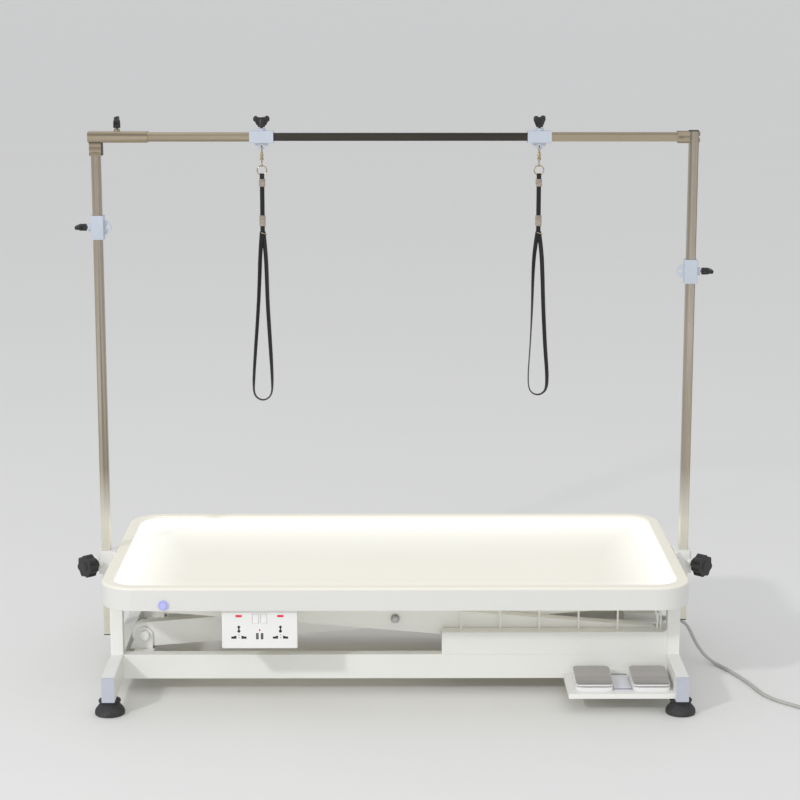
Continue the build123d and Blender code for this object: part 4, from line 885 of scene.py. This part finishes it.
def socket_details():
    inside = Shape()

    # dark blocks sunk just behind the faceplate fill each hole: painted shade for the holes' depth; material 1 is the
    # zinc contacts
    def fill(x, z, wide, tall, turn=0.0, sunk=0.9, deep=5.0, material=0):
        place = Matrix.Translation((x, PLATE_FACE + sunk + deep / 2, z)) @ Matrix.Rotation(math.radians(turn), 4, "Y")
        inside.block((wide - 0.1, deep, tall - 0.1), place, material, 0.25, 2)

    for side in (-1, 1):
        x = PLATE_X + side * SOCKET_DX
        fill(x, 170.0, 5.0, 5.0, 45)
        fill(x, 166.0, 2.6, 6.0)
        inside.lathe([(0, 0), (2.9, 0), (2.9, 5), (0, 5)], facing((x, PLATE_FACE + 0.9, 161.5), (0, 1, 0)),
                     segments=32)
        for way in (-1, 1):
            wedge = [(way * (PIN_DX + dx * SLOT_FILL), dz * SLOT_FILL) for dx, dz in PIN_SLOT]
            inside.prism(wedge, 5.0, facing((x, PLATE_FACE + 3.4, PIN_ROW_Z), (0, -1, 0), (1, 0, 0)), 0, 0.2)
        fill(PLATE_X + side * 4.6, 151.5, 4.8, 12.6)
        fill(PLATE_X + side * 4.6, 151.5, 1.6, 10.0, sunk=0.4, deep=2.0, material=1)
        for z in (149.0, 154.0):
            inside.lathe([(0, 0), (0.85, 0), (0.85, 5), (0, 5)], facing((x, PLATE_FACE + 0.6, z), (0, 1, 0)),
                         segments=16)
    inside.piece("socket_hole_shade_and_contacts", "tabletop", "black_plastic", [SHADE_DARK, ZINC])
    lamps = Shape()
    for side in (-1, 1):
        x = PLATE_X + side * SOCKET_DX
        plan = rounded_plan(12.4, 4.4, 2.1)
        lamps.prism(plan, 2.6, facing((x, PLATE_FACE + 0.8, 192.0), (0, -1, 0), (1, 0, 0)), 0, 0.6)
    lamps.lathe([(0, 0), (1.7, 0), (1.7, 1.4), (1.2, 2.2), (0, 2.5)],
                facing((PLATE_X, PLATE_FACE + 1.9, 163.6), (0, -1, 0)), segments=24)
    lamps.piece("neon_lamps", "tabletop", "socket_white", RED)
    for side, sign in (("left", -1), ("right", 1)):
        rocker = Shape()
        part = bmesh.new()
        outline = [(-1.0, -9.0), (-0.4, -7.0), (0.45, -1.5), (0.6, 0), (0.45, 1.5), (-0.4, 7.0), (-1.0, 9.0),
                   (4.5, 7.0), (4.5, -7.0)]
        near = [part.verts.new((-5.9, y, z)) for y, z in outline]
        far = [part.verts.new((5.9, y, z)) for y, z in outline]
        caps = [part.faces.new(near), part.faces.new(far[::-1])]
        for k in range(len(outline)):
            n = (k + 1) % len(outline)
            part.faces.new((near[k], near[n], far[n], far[k]))
        soften(part, {edge for cap in caps for edge in cap.edges}, 0.5)
        spot = Matrix.Translation((PLATE_X + sign * 7.9, PLATE_FACE, 187.0))
        rocker.take(part, spot @ Matrix.Rotation(math.radians(-5), 4, "X"))
        rocker.piece("rocker_key_" + side, "rocker_" + side, "socket_white", SOCKET, ["rocker_" + side])
    mark = Shape()
    face = facing((BUTTON_X, BUTTON_FACE, BUTTON_Z), (0, -1, 0), (1, 0, 0))
    arc = [(3.4 * math.cos(a), 3.4 * math.sin(a), 0) for a in (math.radians(125 + 290 * k / 28) for k in range(29))]
    mark.wire(arc, 0.42, place=face, sides=8)
    mark.wire([(0, 0.8, 0), (0, 2.6, 0), (0, 4.6, 0)], 0.42, place=face, sides=8)
    mark.piece("button_mark", "light_button", "button_blue", MARK)


socket_details()


# ---- bolts, liners and small hardware -----------------------------------------------------
ARM_LENGTH, PIVOT_LOW, PIVOT_HIGH = 1014.0, 103.5, 186.0
HALF_SPAN = math.sqrt(ARM_LENGTH ** 2 - (PIVOT_HIGH - PIVOT_LOW) ** 2) / 2
MID_Z = (PIVOT_LOW + PIVOT_HIGH) / 2


def hex_bolt(shape, origin, outward, across_flats, tall, washer):
    place = facing(origin, outward)
    shape.lathe([(0, 0), (washer, 0), (washer, 1.6), (washer - 0.4, 2.0), (0, 2.0)], place, 0, 40)
    head = hexagon(across_flats / math.sqrt(3))
    shape.prism(head, tall, place @ Matrix.Translation((0, 0, 2 + tall / 2)), 0, 0.9)


def hardware():
    bolts = Shape()
    for side in (-1, 1):
        hex_bolt(bolts, (0, side * 155, MID_Z), (0, side, 0), 10.5, 3.6, 7.6)
    bolts.piece("centre_bolts", "arm_a", "steel_mechanism", BOLT)
    pins = Shape()
    for side in (-1, 1):
        pins.lathe([(0, 0), (10.4, 0), (10.4, 1.8), (9.2, 3.4), (0, 4.0)],
                   facing((-HALF_SPAN, side * 131, PIVOT_LOW), (0, side, 0)), 0, 40)
    pins.piece("lower_pin_caps", "base", "white_powder_coat", WHITE)
    liners = Shape()
    liners.between(-607.2, -582.8, -11.9, 11.9, 1082.2, 1083.2, 0, 0.2)
    liners.between(-582.9, -581.6, -11.6, 11.6, 1057.5, 1082.6, 0, 0.3)
    liners.between(584.5, 585.9, -9.4, 9.4, 1082.0, 1106.0, 0, 0.3)
    liners.piece("joint_liners", "arm_frame", "black_plastic", BLACK)


hardware()


# ---- CAD nodes that stay ------------------------------------------------------------------
KEPT = {
    "base_frame": WHITE, "corner_columns": WHITE, "rail_end_caps": CAP_GREY, "tray_rail": WHITE, "tool_rack": WHITE,
    "control_box": WHITE, "pedal_tray": WHITE, "scissor_arms_a": WHITE, "scissor_arms_b": WHITE, "arm_a_shafts": ZINC,
    "arm_b_shafts": ZINC, "top_rollers": BLACK, "base_rollers": BLACK, "tabletop_frame": SHELL, "light_panel": PANEL,
    "led_tray": PALE, "underframe": WHITE, "post_sockets": WHITE, "light_button_bezel": LAVENDER,
    "light_button_cap": BUTTON, "power_box": WHITE, "socket_faceplate": SOCKET, "actuator_body": MOTOR,
    "actuator_rod": ZINC, "posts": STEEL_UP, "post_end_caps": BLACK, "crossbar_tubes": STEEL_ALONG,
    "crossbar_joiner": BLACK_BAR, "corner_sleeve": STEEL_ALONG, "frame_brackets": STEEL_ALONG,
    "loop_clamp_left": BLUE_GREY, "loop_clamp_right": BLUE_GREY, "eye_clamp_left": BLUE_GREY,
    "eye_clamp_right": BLUE_GREY,
}
for node, material in KEPT.items():
    finish_node(node, material)


# ---- floor and lights ---------------------------------------------------------------------
def stage():
    floor = bpy.data.meshes.new("floor")
    reach = 3000.0
    corners = [(-reach, -reach, 0), (reach, -reach, 0), (reach, reach, 0), (-reach, reach, 0)]
    floor.from_pydata(corners, [], [(0, 1, 2, 3)])
    f = Finish("studio_floor", 0.6, specular=0.25)
    f.colour(f.mixed(f.spread(f.noise(0.8, 3.0), 0.0, 1.0), linear(232, 231, 226), linear(231, 230, 225)))
    f.bump(f.noise(260.0, 3.0), 0.02)
    floor.materials.append(f.material)
    made = bpy.data.objects.new("studio_floor", floor)
    bpy.context.collection.objects.link(made)


def area_light(name, place, target, size, power, colour):
    data = bpy.data.lights.new(name, "AREA")
    data.shape = "DISK"
    data.size = size
    data.energy = power
    data.color = colour
    made = bpy.data.objects.new(name, data)
    made.location = place
    made.rotation_euler = (Vector(target) - Vector(place)).to_track_quat("-Z", "Y").to_euler()
    bpy.context.collection.objects.link(made)
    return made


def studio():
    """A pale room that meets the floor in one tone at the horizon, and the lamps."""
    world = bpy.data.worlds.new("studio")
    bpy.context.scene.world = world
    world.use_nodes = True
    tree = world.node_tree
    background = tree.nodes["Background"]
    direction = tree.nodes.new("ShaderNodeTexCoord")
    split = tree.nodes.new("ShaderNodeSeparateXYZ")
    sky = tree.nodes.new("ShaderNodeMix")
    sky.data_type = "RGBA"
    sky.inputs[6].default_value = (0.604, 0.608, 0.614, 1.0)
    sky.inputs[7].default_value = (0.800, 0.814, 0.871, 1.0)
    tree.links.new(direction.outputs["Generated"], split.inputs[0])
    tree.links.new(split.outputs["Z"], sky.inputs["Factor"])
    tree.links.new(sky.outputs[2], background.inputs["Color"])
    background.inputs["Strength"].default_value = 1.0
    area_light("key", (-4.2, -5.0, 3.8), (0, 0, 0.3), 0.5, 152.0, (0.975, 0.988, 1.0))
    fill = area_light("fill", (0.6, -6.5, 0.9), (0, 0, 0.2), 3.0, 54.0, (0.98, 0.99, 1.0))
    fill.visible_glossy = False
    top = area_light("front_top", (0.2, -3.8, 4.2), (0.1, -0.9, 0.0), 2.0, 16.0, (0.98, 0.99, 1.0))
    top.visible_glossy = False
    # a little of the lit panel's warmth that gets out below it
    under = area_light("panel_leak", (0.0, 0.0, 0.19), (0.0, 0.001, 0.0), 1.0, 0.32, (1.0, 0.91, 0.70))
    under.data.shape = "RECTANGLE"
    under.data.size_y = 0.42
    under.visible_camera = False
    under.visible_glossy = False


stage()
studio()
